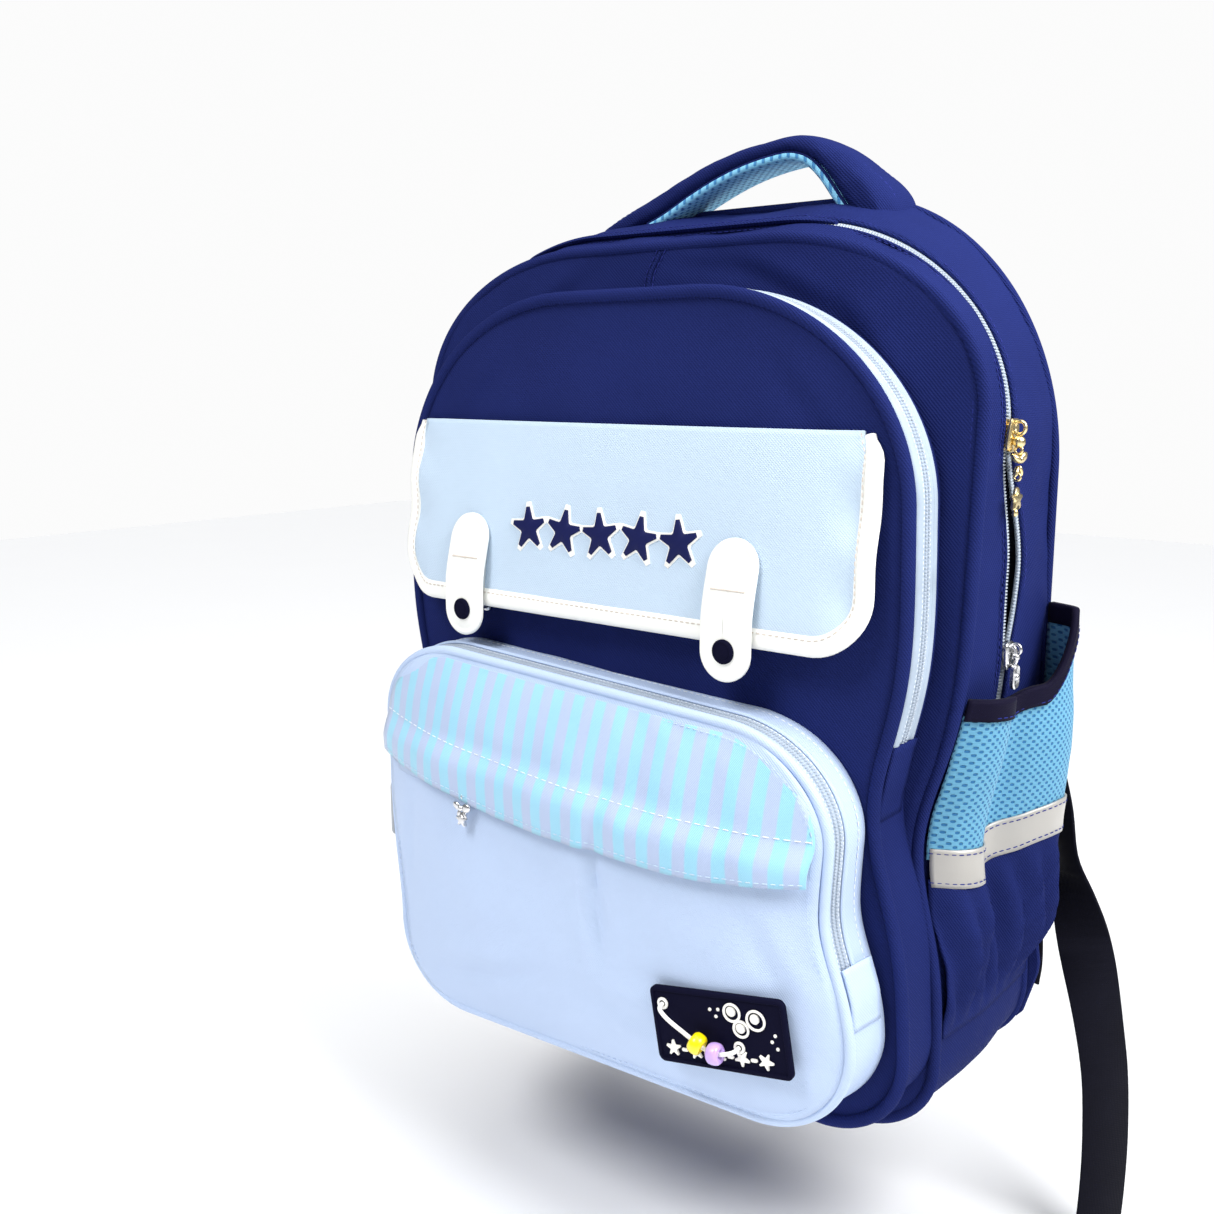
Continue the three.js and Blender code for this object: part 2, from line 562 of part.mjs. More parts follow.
function handleBar(from, to, steps, low, high, width) {
  // A bar along the handle between two heights off its middle line; it narrows towards its sewn ends.
  const sections = range(steps + 1).map((i) => {
    const t = lerp(from, to, i / steps);
    const p = handleCurve.getPoint(t);
    const d = handleCurve.getTangent(t);
    const narrow = smooth(Math.min(t, 1 - t) / 0.3);
    const w = lerp(5, width, narrow) / 2;
    const flat = lerp(0.5, 1, smooth(Math.min(t, 1 - t) / 0.3));
    const corner = (x, n) => v3(p.x - d.z * n * flat, HANDLE.y + x, p.z + d.x * n * flat);
    const shoulder = lerp(low, high, 0.75);
    return [corner(-w, low), corner(-w, shoulder), corner(-w * 0.75, high), corner(w * 0.75, high),
      corner(w, shoulder), corner(w, low)];
  });
  return sweep(sections);
}

const halfThick = HANDLE.thick / 2;
add('handle_cover', handleBar(0, 1, 16, -halfThick, halfThick, HANDLE.width), NAVY);
add('handle_lining', handleBar(0.25, 0.8125, 9, -halfThick - 0.3 - HANDLE.lining, -halfThick - 0.3, HANDLE.width - 5),
  MESH_BLUE, 0.95);

// ---------------------------------------------------------------------------- shoulder straps
const STRAP_T = 10;
const strapRoute = [ // [x, stand-off from the back panel, z, width] down the right strap's middle
  [46, 17, 368, 42], [50, 28, 357, 58], [60, 33, 330, 62], [76, 36, 290, 62], [96, 34, 250, 58], [114, 30, 218, 50],
  [124, 27, 198, 42]];

function strapSheet(route, thick) {
  const section = ([x, off, z, width], i) => {
    const before = route[Math.max(0, i - 1)];
    const after = route[Math.min(route.length - 1, i + 1)];
    const along = v3(after[0] - before[0], backY(after[2]) + after[1] - backY(before[2]) - before[1],
      after[2] - before[2]).normalize();
    const side = v3(-along.z, 0, along.x).normalize();
    const normal = side.clone().cross(along).normalize();
    const middle = v3(x, backY(z) + off, z);
    const corner = (a, b) => middle.clone().addScaledVector(side, a * width).addScaledVector(normal, b * thick);
    return [corner(-0.5, 0), corner(-0.42, 0.5), corner(0.42, 0.5), corner(0.5, 0), corner(0.42, -0.5),
      corner(-0.42, -0.5)];
  };
  return sweep(route.map(section));
}

pair('shoulder_strap', strapSheet(strapRoute, STRAP_T), NAVY, 0.85);

const LOCK = { x: 130.5, z: 178, half: 17, high: 13, thick: 5 };
const lockY = backY(LOCK.z) + 26;
const frame = roundedRect(LOCK.half, LOCK.high, 3);
for (const z of [-6.4, 2.4]) {
  const slot = new THREE.Path();
  slot.moveTo(-13, z).lineTo(-13, z + 4).lineTo(13, z + 4).lineTo(13, z);
  frame.holes.push(slot);
}
const lock = slab(frame, -LOCK.thick / 2, LOCK.thick / 2, 3);
pair('ladder_lock', merged(lock.rotateY(-0.25)).translate(LOCK.x, lockY, LOCK.z), 0x15151d, 0.4);

const WEB = 25; // webbing width
const WEB_T = 1.6;

function webbing(route) {
  // Flat webbing through [x, y, z, twist] points, where the twist turns its width about the vertical.
  const section = ([x, y, z, twist], i) => {
    const before = route[Math.max(0, i - 1)];
    const after = route[Math.min(route.length - 1, i + 1)];
    const along = v3(after[0] - before[0], after[1] - before[1], after[2] - before[2]).normalize();
    const wide = v3(Math.cos(twist), Math.sin(twist), 0);
    wide.addScaledVector(along, -wide.dot(along)).normalize();
    const normal = wide.clone().cross(along).normalize();
    const corner = (a, b) => v3(x, y, z).addScaledVector(wide, a * WEB).addScaledVector(normal, b * WEB_T);
    return [corner(-0.5, -0.5), corner(0.5, -0.5), corner(0.5, 0.5), corner(-0.5, 0.5)];
  };
  return sweep(route.map(section));
}

// The adjusting run goes from the bottom corner seam up to the ladder lock.
const lowerRun = [[145, backY(34) + 9, 34, 0.1], [146, backY(52) + 9.5, 52, 0.1], [142, lockY - 9, 100, 0.1],
  [136, lockY - 3, 140, 0.1], [132.5, lockY - 1, 163.5, 0.1]];
pair('lower_webbing', webbing(lowerRun), INK, 0.85);

// The loose tail leaves the ladder lock and hangs below the bag, turning its face outwards as it falls.
const tailRight = [[133, lockY + 4.6, 172, 0.1], [138, lockY + 6, 158, 0], [146, lockY + 6, 140, -0.2],
  [155, lockY + 4, 120, -0.5], [162, lockY + 1, 98, -0.7], [168, lockY, 80, -0.3], [174, lockY, 60, 0.2],
  [180, lockY, 38, 0.65], [185, lockY, 16, 0.85], [189, lockY, -6, 0.9], [191, lockY, -28, 0.9],
  [192, lockY, -52, 0.9], [192, lockY - 1, -78, 0.9], [191, lockY - 2, -98, 0.9]];
const finer = (route, n) => route.flatMap((p, i) => (i === route.length - 1 ? [p]
  : range(n).map((k) => p.map((v, j) => lerp(v, route[i + 1][j], k / n)))));
add('strap_tail_right', webbing(finer(tailRight, 4)), INK, 0.85);
const tailLeft = tailRight.map(([, , z, twist], i) => [-lerp(133, 122, smooth(i / 13)), lockY + 5.5, z, -twist * 0.2]);
add('strap_tail_left', webbing(tailLeft), INK, 0.85);

// ---------------------------------------------------------------------------- zip sliders and pulls
// Each slider is a small block that rides just off its tape; each pull hangs from its top edge.
function slider(name, at, turn, color, high = 3.2) {
  // Drawn with its back on x = 0, facing +X, then turned about Z and moved.
  const body = slab(roundedRect(high / 2, 5, high / 4), -3.6, 3.6, 3).translate(high / 2, 0, 0);
  add(name, body.rotateZ(turn).translate(at.x, at.y, at.z), color, 0.25, 1);
}

function pull(name, at, turn, length, width, color, metalness, off = 4.8, thick = 2.2) {
  // A flat drop with its pivot at the top, hanging in front of its slider.
  const half = width / 2;
  const s = new THREE.Shape();
  s.moveTo(-1.6, 2.4).lineTo(-1.6, -3);
  s.quadraticCurveTo(-half, -6, -half, -length + half);
  s.absarc(0, -length + half, half, Math.PI, 2 * Math.PI, false);
  s.quadraticCurveTo(half, -6, 1.6, -3).lineTo(1.6, 2.4);
  const body = slab(s, -thick / 2, thick / 2, 3).rotateZ(Math.PI / 2).translate(off, 0, 0);
  add(name, body.rotateZ(turn).translate(at.x, at.y, at.z), color, 0.3, metalness);
}

const GOLD = 0xe6cb7a;
const onFlank = (z, y, side, out) => { const p = sideAt(y / backY(z), z, out); return v3(side * p.x, y, z); };
const upper = onFlank(305, zipY(305), 1, 0.4);
slider('main_slider_upper', upper, 0, GOLD);
pull('main_pull_upper', upper.clone().add(v3(0, 0, 3)), 0, 36, 8, GOLD, 1);
const lower = onFlank(211, zipY(211), 1, 0.9);
slider('main_slider_lower', lower, 0, STEEL);
pull('main_pull_lower', lower.clone().add(v3(0, 0, 3)), 0, 18, 7, STEEL, 1);
const midStop = v3(-halfWidth(MID, 216) - 2.4, Y_MID + 12, 216);
slider('mid_slider', midStop, Math.PI, STEEL);
pull('mid_pull', midStop.clone().add(v3(0, 0, 3)), Math.PI, 34, 9, 0xa9adb6, 0);
const pocketStop = settled(v3(-halfWidth(POCKET, 112) - 4.4, Y_POCKET + 9, 112));
slider('pocket_slider', pocketStop, Math.PI, STEEL);
pull('pocket_pull', pocketStop.clone().add(v3(0, 0, 2)), Math.PI, 34, 9, 0xa9adb6, 0);
const slitStop = settled(v3(-58, pocketY(-58, 139) - SLIT_STAND - 1.9, 137));
slider('slit_slider', slitStop, -Math.PI / 2, STEEL, 1.6);
pull('slit_pull', slitStop, -Math.PI / 2, 26, 10, STEEL, 1, 2.3, 1);

export default bag;
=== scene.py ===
"""The school backpack's looks: sewn fabric, zips, vinyl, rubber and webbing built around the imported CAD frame.

Lengths are in millimetres in the bag's own frame: x = 0 is the middle, y = 0 the main front seam, z = 0 near the
base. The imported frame's origin is the hang point under the handle, so place() shifts and scales every point.
"""
import math

import bpy
import numpy as np
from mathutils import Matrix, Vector, noise


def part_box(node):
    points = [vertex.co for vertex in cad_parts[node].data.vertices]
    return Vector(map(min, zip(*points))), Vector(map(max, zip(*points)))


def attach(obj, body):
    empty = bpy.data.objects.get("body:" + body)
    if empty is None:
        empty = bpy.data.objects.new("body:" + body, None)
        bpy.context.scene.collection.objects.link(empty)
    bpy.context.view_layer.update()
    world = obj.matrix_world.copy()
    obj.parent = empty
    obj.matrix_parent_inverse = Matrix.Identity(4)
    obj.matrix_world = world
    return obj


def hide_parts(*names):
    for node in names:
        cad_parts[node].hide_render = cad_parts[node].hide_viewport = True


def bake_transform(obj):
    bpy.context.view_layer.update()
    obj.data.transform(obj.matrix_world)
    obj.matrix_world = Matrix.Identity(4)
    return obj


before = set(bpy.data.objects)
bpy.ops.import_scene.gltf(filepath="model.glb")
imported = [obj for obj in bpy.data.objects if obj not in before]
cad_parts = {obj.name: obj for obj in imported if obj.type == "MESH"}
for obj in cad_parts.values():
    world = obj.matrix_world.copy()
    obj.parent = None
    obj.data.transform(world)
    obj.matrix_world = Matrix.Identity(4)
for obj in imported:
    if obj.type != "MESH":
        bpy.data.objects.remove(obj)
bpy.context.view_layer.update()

MM = 0.001
HANG = np.array([0.0, 64.0, 426.0])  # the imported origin, in the bag's own frame


def place(points):
    return (np.asarray(points, float) - HANG) * MM


def unit(v):
    v = np.asarray(v, float)
    return v / np.maximum(np.linalg.norm(v, axis=-1, keepdims=True), 1e-9)


X, Y, Z, FRONT = (1, 0, 0), (0, 1, 0), (0, 0, 1), (0, -1, 0)


def smooth(t):
    t = min(1.0, max(0.0, t))
    return t * t * (3 - 2 * t)


def lerp(a, b, t):
    return a + (b - a) * t


# ------------------ camera
AZIMUTH, ELEVATION, FIELD_OF_VIEW = 39.5, 10.4, 51.77
EYE = (357.8, -477.3, 327.7)
camera = bpy.data.objects.new("camera", bpy.data.cameras.new("camera"))
bpy.context.collection.objects.link(camera)
camera.location = place(EYE)
camera.rotation_euler = (math.radians(90 - ELEVATION), 0, math.radians(AZIMUTH))
camera.data.angle = math.radians(FIELD_OF_VIEW)
camera.data.clip_start = 0.01
bpy.context.scene.camera = camera


# ------------------ materials
class Nodes:
    """A material's node tree, with short calls to add and join nodes."""

    def __init__(self, name, color, rough, **sockets):
        self.mat = bpy.data.materials.new(name)
        self.mat.use_nodes = True
        self.mat.diffuse_color = (*color, 1)
        self.tree = self.mat.node_tree
        self.shader = self.tree.nodes["Principled BSDF"]
        self.shader.inputs["Roughness"].default_value = rough
        for key, value in sockets.items():
            self.shader.inputs[key.replace("_", " ")].default_value = value
        self.coords = self.add("ShaderNodeTexCoord").outputs["Object"]

    def add(self, kind, inputs=(), **settings):
        node = self.tree.nodes.new(kind)
        for key, value in settings.items():
            setattr(node, key, value)
        for key, value in dict(inputs).items():
            self.put(node.inputs[key], value)
        return node

    def put(self, socket, value):
        if isinstance(value, bpy.types.NodeSocket):
            self.tree.links.new(value, socket)
        else:
            socket.default_value = value

    def math(self, operation, a, b=0.0, c=0.0):
        return self.add("ShaderNodeMath", {0: a, 1: b, 2: c}, operation=operation).outputs[0]

    def scaled(self, scale):
        return self.add("ShaderNodeMapping", {"Vector": self.coords, "Scale": scale}).outputs[0]

    def noise(self, scale, detail=3.0):
        inputs = {"Vector": self.coords, "Scale": scale, "Detail": detail}
        return self.add("ShaderNodeTexNoise", inputs).outputs[0]

    def wave(self, pitch, direction="DIAGONAL", vector=None, distortion=0.0):
        """Sine bands a pitch (m) apart along the direction."""
        bands = 10 if direction == "DIAGONAL" else 20
        inputs = {"Vector": vector or self.coords, "Scale": 2 * math.pi / (bands * pitch),
                  "Distortion": distortion}
        return self.add("ShaderNodeTexWave", inputs, bands_direction=direction).outputs["Fac"]

    def mix(self, factor, a, b):
        node = self.add("ShaderNodeMix", data_type="RGBA")
        for socket, value in ((0, factor), (6, a), (7, b)):  # a Mix node's factor and colour sockets
            self.put(node.inputs[socket], (*value, 1) if isinstance(value, tuple) else value)
        return node.outputs[2]

    def finish(self, color, height=None, strength=0.3, distance=0.0004):
        self.put(self.shader.inputs["Base Color"], color)
        if height is not None:
            bump = self.add("ShaderNodeBump", {"Height": height, "Strength": strength, "Distance": distance})
            self.put(self.shader.inputs["Normal"], bump.outputs[0])
        return self.mat


def linear(*color):
    """An sRGB colour, 0 to 255, as linear values."""
    return tuple(((c / 255 + 0.055) / 1.055) ** 2.4 if c > 10 else c / 255 / 12.92 for c in color)


def shade(color, k):
    return tuple(min(1.0, c * k) for c in color)


def twill(name, color, rough=0.75, pitch=0.0017, depth=0.7, sheen=0.0, low=0.6, high=1.4, specular=0.03):
    """Diagonal twill weave with cloudy colour between low and high times the colour, for the sewn fabric."""
    n = Nodes(name, color, rough, Sheen_Weight=sheen, Sheen_Roughness=0.45, Specular_IOR_Level=specular,
              Sheen_Tint=(0.7, 0.8, 1, 1))
    rib = n.wave(pitch, distortion=0.6)
    thread = n.wave(pitch * 0.55, "Z")
    cloud = n.noise(14, 4)
    weave = n.math("MULTIPLY_ADD", rib, 0.7, n.math("MULTIPLY", thread, 0.3))
    tone = n.math("MULTIPLY_ADD", weave, 0.45, n.math("MULTIPLY", cloud, 0.55))
    return n.finish(n.mix(tone, shade(color, low), shade(color, high)), weave, depth, 0.00035)


def leatherette(name, color, rough=0.38, grain=900, depth=0.12, coat=0.1, specular=0.4):
    """Coated vinyl or moulded rubber with a fine grain."""
    n = Nodes(name, color, rough, Coat_Weight=coat, Coat_Roughness=0.3, Specular_IOR_Level=specular)
    fine = n.noise(grain, 2)
    cloud = n.noise(20, 3)
    return n.finish(n.mix(cloud, shade(color, 0.92), shade(color, 1.05)), fine, depth, 0.0002)


def plated(name, color, rough=0.22):
    """Plated metal with faint brushing and dulled patches."""
    n = Nodes(name, color, rough, Metallic=1.0)
    cloud = n.noise(260, 3)
    n.put(n.shader.inputs["Roughness"], n.math("MULTIPLY_ADD", cloud, 0.25, rough - 0.08))
    return n.finish(n.mix(cloud, shade(color, 0.8), shade(color, 1.1)), n.noise(1400, 1), 0.08, 0.0001)


def holes(name, base, hole, axes, pitch=(0.0046, 0.0044)):
    """Open warp-knit mesh: staggered round holes on the plane of two axes, between raised yarns."""
    n = Nodes(name, base, 0.7, Sheen_Weight=0.1, Specular_IOR_Level=0.2)
    split = n.add("ShaderNodeSeparateXYZ", {"Vector": n.coords}).outputs
    a, b = (n.math("COSINE", n.math("MULTIPLY", split["XYZ".index(axis)], 2 * math.pi / each))
            for axis, each in zip(axes, pitch))
    product = n.math("MULTIPLY", a, b)
    rim = n.add("ShaderNodeMapRange", {"Value": product, "From Min": 0.56, "From Max": 0.16}).outputs[0]
    yarn = n.mix(n.wave(0.0007, "Z"), shade(base, 0.9), shade(base, 1.1))
    return n.finish(n.mix(rim, linear(*hole), yarn), rim, 0.8, 0.0006)


def ribbed(name, color, pitch=0.0012, rough=0.7, scale=(1, 1, 1)):
    """Woven webbing, tape or thread: ribs along its length and finer picks across it."""
    n = Nodes(name, color, rough, Sheen_Weight=0.02, Specular_IOR_Level=0.05)
    rib = n.wave(pitch, "DIAGONAL", n.scaled(scale))
    pick = n.wave(pitch * 0.8, "Z")
    cloud = n.noise(60, 3)
    height = n.math("MULTIPLY_ADD", rib, 0.6, n.math("MULTIPLY", pick, 0.4))
    return n.finish(n.mix(cloud, shade(color, 0.8), shade(color, 1.25)), height, 0.4, 0.0003)


PALE = (183, 201, 230)
# the light cloths' roughness, pitch, depth, sheen, low and high tone and gloss
FABRIC = (0.5, 0.0015, 0.4, 0.1, 0.9, 1.07, 0.3)
LOOKS = {  # each material's kind, colour and settings
    "navy_twill": (twill, (29, 38, 91)),
    "sky_twill": (twill, (190, 209, 228), *FABRIC),
    "pale_twill": (twill, PALE, *FABRIC),
    "lining": (twill, (16, 18, 44), 0.8, 0.001, 0.2, 0.1),
    "white_vinyl": (leatherette, (243, 243, 238)),
    "ink_rubber": (leatherette, (15, 15, 36), 0.7, 1200, 0.2, 0.0, 0.03),
    "navy_print": (leatherette, (18, 24, 74), 0.5, 900, 0.1, 0.0, 0.15),
    "white_print": (leatherette, (244, 242, 236), 0.4, 900, 0.1),
    "grey_rubber": (leatherette, (166, 170, 176), 0.45),
    "black_plastic": (leatherette, (20, 20, 26), 0.32, 1600, 0.1, 0.3),
    "yellow_plastic": (leatherette, (250, 226, 8), 0.16, 500, 0.03, 0.6),
    "lilac_plastic": (leatherette, (198, 164, 236), 0.16, 500, 0.03, 0.6),
    "zip_coil": (leatherette, (174, 184, 196), 0.3, 900, 0.05, 0.2),
    "zip_tape": (ribbed, (164, 177, 192), 0.0009, 0.65),
    "ink_webbing": (ribbed, (14, 14, 24), 0.0012, 0.7, (1, 1, 0)),
    "binding": (ribbed, (18, 15, 36), 0.0010, 0.6),
    "navy_thread": (ribbed, (40, 48, 120), 0.0006, 0.6),
    "white_thread": (ribbed, (226, 230, 240), 0.0006, 0.6),
    "tan_thread": (ribbed, (206, 196, 186), 0.0006, 0.6),
    "white_cord": (ribbed, (240, 238, 230), 0.0012, 0.5),
    "mesh_side": (holes, (100, 161, 192), (46, 109, 157), "YZ", (0.0031, 0.0034)),
    "mesh_back": (holes, (92, 150, 214), (30, 60, 120), "XZ"),
    "mesh_flat": (holes, (138, 208, 242), (70, 140, 196), "XY"),
}
mats = {name: kind(name.replace("_", " "), linear(*color), *rest)
        for name, (kind, color, *rest) in LOOKS.items()}
mats["steel"] = plated("nickel plate", (0.72, 0.72, 0.73))
mats["gold"] = plated("pale gold plate", (0.86, 0.70, 0.38))

STRIPE = 12.25  # the width of one cyan and one lilac stripe together


def striped():
    """Printed cloth with upright cyan and lilac stripes."""
    n = Nodes("striped twill", linear(*PALE), 0.5, Sheen_Weight=0.4, Specular_IOR_Level=0.35)
    x = n.add("ShaderNodeSeparateXYZ", {"Vector": n.coords}).outputs[0]
    part = n.math("PINGPONG", n.math("DIVIDE", x, STRIPE * MM / 2), 1.0)
    step = n.add("ShaderNodeMapRange", {"Value": part, "From Min": 0.44, "From Max": 0.56}).outputs[0]
    cloud = n.noise(30, 3)
    blue = n.mix(cloud, linear(140, 198, 222), linear(150, 205, 228))
    lilac = n.mix(cloud, linear(166, 182, 214), linear(174, 189, 219))
    weave = n.wave(0.0011, distortion=0.5)
    return n.finish(n.mix(step, blue, lilac), weave, 0.3, 0.00035)


def reflective():
    """Grey tape with fine glass beads."""
    color = linear(170, 167, 162)
    n = Nodes("reflective tape", color, 0.4, Metallic=0.25, Sheen_Weight=0.2)
    beads = n.noise(2600, 1)
    cloud = n.noise(25, 3)
    return n.finish(n.mix(cloud, shade(color, 0.82), shade(color, 1.12)), beads, 0.25, 0.0002)


mats["striped_twill"] = striped()
mats["reflective_tape"] = reflective()


# ------------------ mesh helpers
CREASE_ANGLE = math.radians(48)  # edges sharper than this stay sharp


def make(name, points, faces, mat, body="bag", hides=(), thick=0.0, level=0, bend=None):
    """One piece that rides a body, or, given a bend, rides no body and stays where it is built.

    It stands for the CAD nodes in hides, or for the node that has its own name.
    """
    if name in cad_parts:
        hides = [name]
    name += "_piece"
    mesh = bpy.data.meshes.new(name)
    mesh.from_pydata([tuple(p) for p in place(points)], [], faces)
    mesh.materials.append(mats[mat])
    mesh.polygons.foreach_set("use_smooth", [True] * len(mesh.polygons))
    mesh.set_sharp_from_angle(angle=CREASE_ANGLE)
    obj = bpy.data.objects.new(name, mesh)
    bpy.context.collection.objects.link(obj)
    if thick:
        shell = obj.modifiers.new("thickness", "SOLIDIFY")
        shell.thickness = thick * MM
        shell.offset = 0
    if level:
        obj.modifiers.new("smooth", "SUBSURF").levels = level
        obj.modifiers["smooth"].render_levels = level
    if bend:
        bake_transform(obj)
    else:
        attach(obj, body)
    if hides:
        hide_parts(*hides)
    return obj


def quads(rows, cols, wrap_rows=False, wrap_cols=False, first=0):
    """Quad faces over a rows by cols grid of points."""
    faces = []
    for i in range(rows if wrap_rows else rows - 1):
        for j in range(cols if wrap_cols else cols - 1):
            k, m = (i + 1) % rows, (j + 1) % cols
            faces.append(tuple(first + v for v in (i * cols + j, i * cols + m, k * cols + m, k * cols + j)))
    return faces


def grid_shape(points, wrap_rows=False, wrap_cols=False):
    """Points and faces over a grid of points, with flat ends where only its columns close."""
    points = np.asarray(points, float)
    rows, cols = points.shape[:2]
    faces = quads(rows, cols, wrap_rows, wrap_cols)
    if wrap_cols and not wrap_rows:
        faces += [tuple(range(cols))[::-1], tuple((rows - 1) * cols + j for j in range(cols))]
    return points.reshape(-1, 3), faces


def grid(name, points, mat, wrap_rows=False, wrap_cols=False, **more):
    return make(name, *grid_shape(points, wrap_rows, wrap_cols), mat, **more)


def merged(name, shapes, mat, **more):
    """One piece made of several closed shapes."""
    points, faces = [], []
    for part, around_it in shapes:
        faces += [tuple(len(points) + v for v in face) for face in around_it]
        points += [tuple(p) for p in part]
    return make(name, points, faces, mat, **more)


def resample(path, step, closed=False):
    """Evenly spaced points, about a step apart, along a path."""
    path = np.asarray(path, float)
    if closed:
        path = np.vstack([path, path[:1]])
    run = np.concatenate([[0], np.cumsum(np.linalg.norm(np.diff(path, axis=0), axis=1))])
    count = max(2, int(round(run[-1] / step)) + 1)
    s = np.linspace(0, run[-1], count)
    out = np.stack([np.interp(s, run, path[:, k]) for k in range(path.shape[1])], axis=1)
    return out[:-1] if closed else out


def spline(points, count):
    """A smooth Catmull-Rom curve through rows of numbers."""
    p = np.asarray(points, float)
    p = np.vstack([2 * p[0] - p[1], p, 2 * p[-1] - p[-2]])
    spans = len(p) - 3
    out = []
    for s in np.linspace(0, spans, count):
        i = min(int(s), spans - 1)
        t = s - i
        a, b, c, d = p[i:i + 4]
        square, cube = 2 * a - 5 * b + 4 * c - d, 3 * b - a - 3 * c + d
        out.append(0.5 * (2 * b + (c - a) * t + square * t**2 + cube * t**3))
    return np.array(out)


def tangents(path, closed=False):
    path = np.asarray(path, float)
    if closed:
        return unit(np.roll(path, -1, 0) - np.roll(path, 1, 0))
    return unit(np.gradient(path, axis=0))


def ribbon_shape(path, normals, profile, closed=False, widths=None):
    """A profile of [across, outward] points swept along a path whose surface normals are given."""
    path = np.asarray(path, float)
    t = tangents(path, closed)
    n = np.broadcast_to(np.asarray(normals, float), path.shape)
    n = unit(n - t * np.sum(n * t, axis=1, keepdims=True))
    side = np.cross(t, n)
    scale = np.ones(len(path)) if widths is None else np.asarray(widths)
    rows = [path + side * (a * scale)[:, None] + n * (b * np.sqrt(scale))[:, None] for a, b in profile]
    return grid_shape(np.stack(rows, axis=1), closed, True)


def ribbon(name, path, normals, profile, mat, closed=False, widths=None, **more):
    return make(name, *ribbon_shape(path, normals, profile, closed, widths), mat, **more)


def turns(count):
    """Angles evenly spaced round a full turn."""
    return np.linspace(0, 2 * math.pi, count, endpoint=False)


def round_profile(radius, sides=12, flat=1.0):
    return [(radius * math.cos(a), radius * flat * math.sin(a)) for a in turns(sides)]


def strap_profile(width, thick, lip=0.35):
    """A flat strap's section with rounded edges."""
    w, h = width / 2, thick / 2
    flat = w - h * 0.6
    lower = [(-w, -h * lip), (-flat, -h), (flat, -h), (w, -h * lip)]
    return lower + [(-a, -b) for a, b in lower]


def tube(name, path, radius, mat, closed=False, sides=12, up=(0.03, 1, 0.05), **more):
    return ribbon(name, path, up, round_profile(radius, sides), mat, closed, **more)


HEXAGON = [(math.cos(a), math.sin(a)) for a in np.arange(6) * math.pi / 3]
BAR_POINTS = [(-1, 0, 0)] + [(k, *corner) for k in (-0.62, 0.62) for corner in HEXAGON] + [(1, 0, 0)]
BAR_FACES = [(0, 1 + j, 1 + (j + 1) % 6) for j in range(6)] + [(13, 7 + (j + 1) % 6, 7 + j) for j in range(6)]
BAR_FACES += [(1 + j, 7 + j, 7 + (j + 1) % 6, 1 + (j + 1) % 6) for j in range(6)]


def bars(name, path, normals, pitch, size, mat, closed=False, **more):
    """Small pointed bars along a path, for stitches and zip teeth: size is along, across and up."""
    spots = resample(np.hstack([path, np.broadcast_to(normals, np.shape(path))]), pitch, closed)
    centres, n = spots[:, :3], unit(spots[:, 3:])
    t = tangents(centres, closed)
    n = unit(n - t * np.sum(n * t, axis=1, keepdims=True))
    side = np.cross(t, n)
    along, across, up = np.array(size) / 2
    if across > along:  # the bars lie across the path
        t, side, along, across = side, -t, across, along
    points, faces = [], []
    for centre, a, b, c in zip(centres, t, side, n):
        first = len(points)
        points += [centre + a * along * p + b * across * q + c * up * r for p, q, r in BAR_POINTS]
        faces += [tuple(first + v for v in f) for f in BAR_FACES]
    return make(name, points, faces, mat, **more)


def stitches(name, path, normals, mat="navy_thread", pitch=3.4, closed=False, **more):
    return bars(name, path, normals, pitch, (pitch * 0.74, 0.55, 0.42), mat, closed, **more)


def plate_shape(outline, levels, origin, across, up, radial=False):
    """A moulded plate: an outline in (across, up), stepped through [inset, height] levels from back to front.

    A radial plate shrinks towards its middle instead, which suits a star.
    """
    outline = np.asarray(outline, float)
    t = tangents(outline, True)
    inward = np.stack([-t[:, 1], t[:, 0]], axis=1)
    area = np.sum(outline[:, 0] * np.roll(outline[:, 1], -1) - outline[:, 1] * np.roll(outline[:, 0], -1))
    inward *= 1 if area > 0 else -1
    if radial:
        toward = outline.mean(axis=0) - outline
        inward = toward / np.linalg.norm(toward, axis=1).max()
    across, up = unit(across), unit(up)
    out = unit(np.cross(across, up))
    rows = []
    for inset, height in levels:
        ring = outline + inward * inset
        rows.append(np.asarray(origin) + ring[:, :1] * across + ring[:, 1:] * up + out * height)
    return grid_shape(rows, False, True)


def turned_shape(profile, origin, axis, sides=20, squash=1.0, closed=False):
    """A form turned about an axis from [radius, height] points; squash flattens it.

    A closed profile comes back to its first point, so the form keeps a hole along its axis.
    """
    axis = unit(axis)
    a = unit(np.cross(axis, (0.3, 1, 0.2)))
    b = np.cross(axis, a)
    rows = [[np.asarray(origin) + axis * h + r * (a * math.cos(t) + b * squash * math.sin(t))
             for t in turns(sides)] for r, h in profile]
    return grid_shape(rows, closed, True)


def lump_shape(radius, centre, axis=Z, long=1.0, squash=1.0):
    """A rounded lump, long times its radius along the axis."""
    angles = np.linspace(-math.pi / 2 + 0.06, math.pi / 2 - 0.06, 9)
    profile = [(radius * math.cos(t), radius * long * math.sin(t)) for t in angles]
    return turned_shape(profile, centre, axis, 14, squash)


def ring_shape(centre, radius, thick, a, b, normal, count):
    """A wire ring about a centre, in the plane of a and b."""
    path = [np.asarray(centre) + radius * (a * math.cos(t) + b * math.sin(t)) for t in turns(count)]
    return ribbon_shape(path, normal, round_profile(thick, 8), True)


def circle(radius, count=28, centre=(0, 0)):
    a = turns(count)
    return np.stack([centre[0] + radius * np.cos(a), centre[1] + radius * np.sin(a)], axis=1)


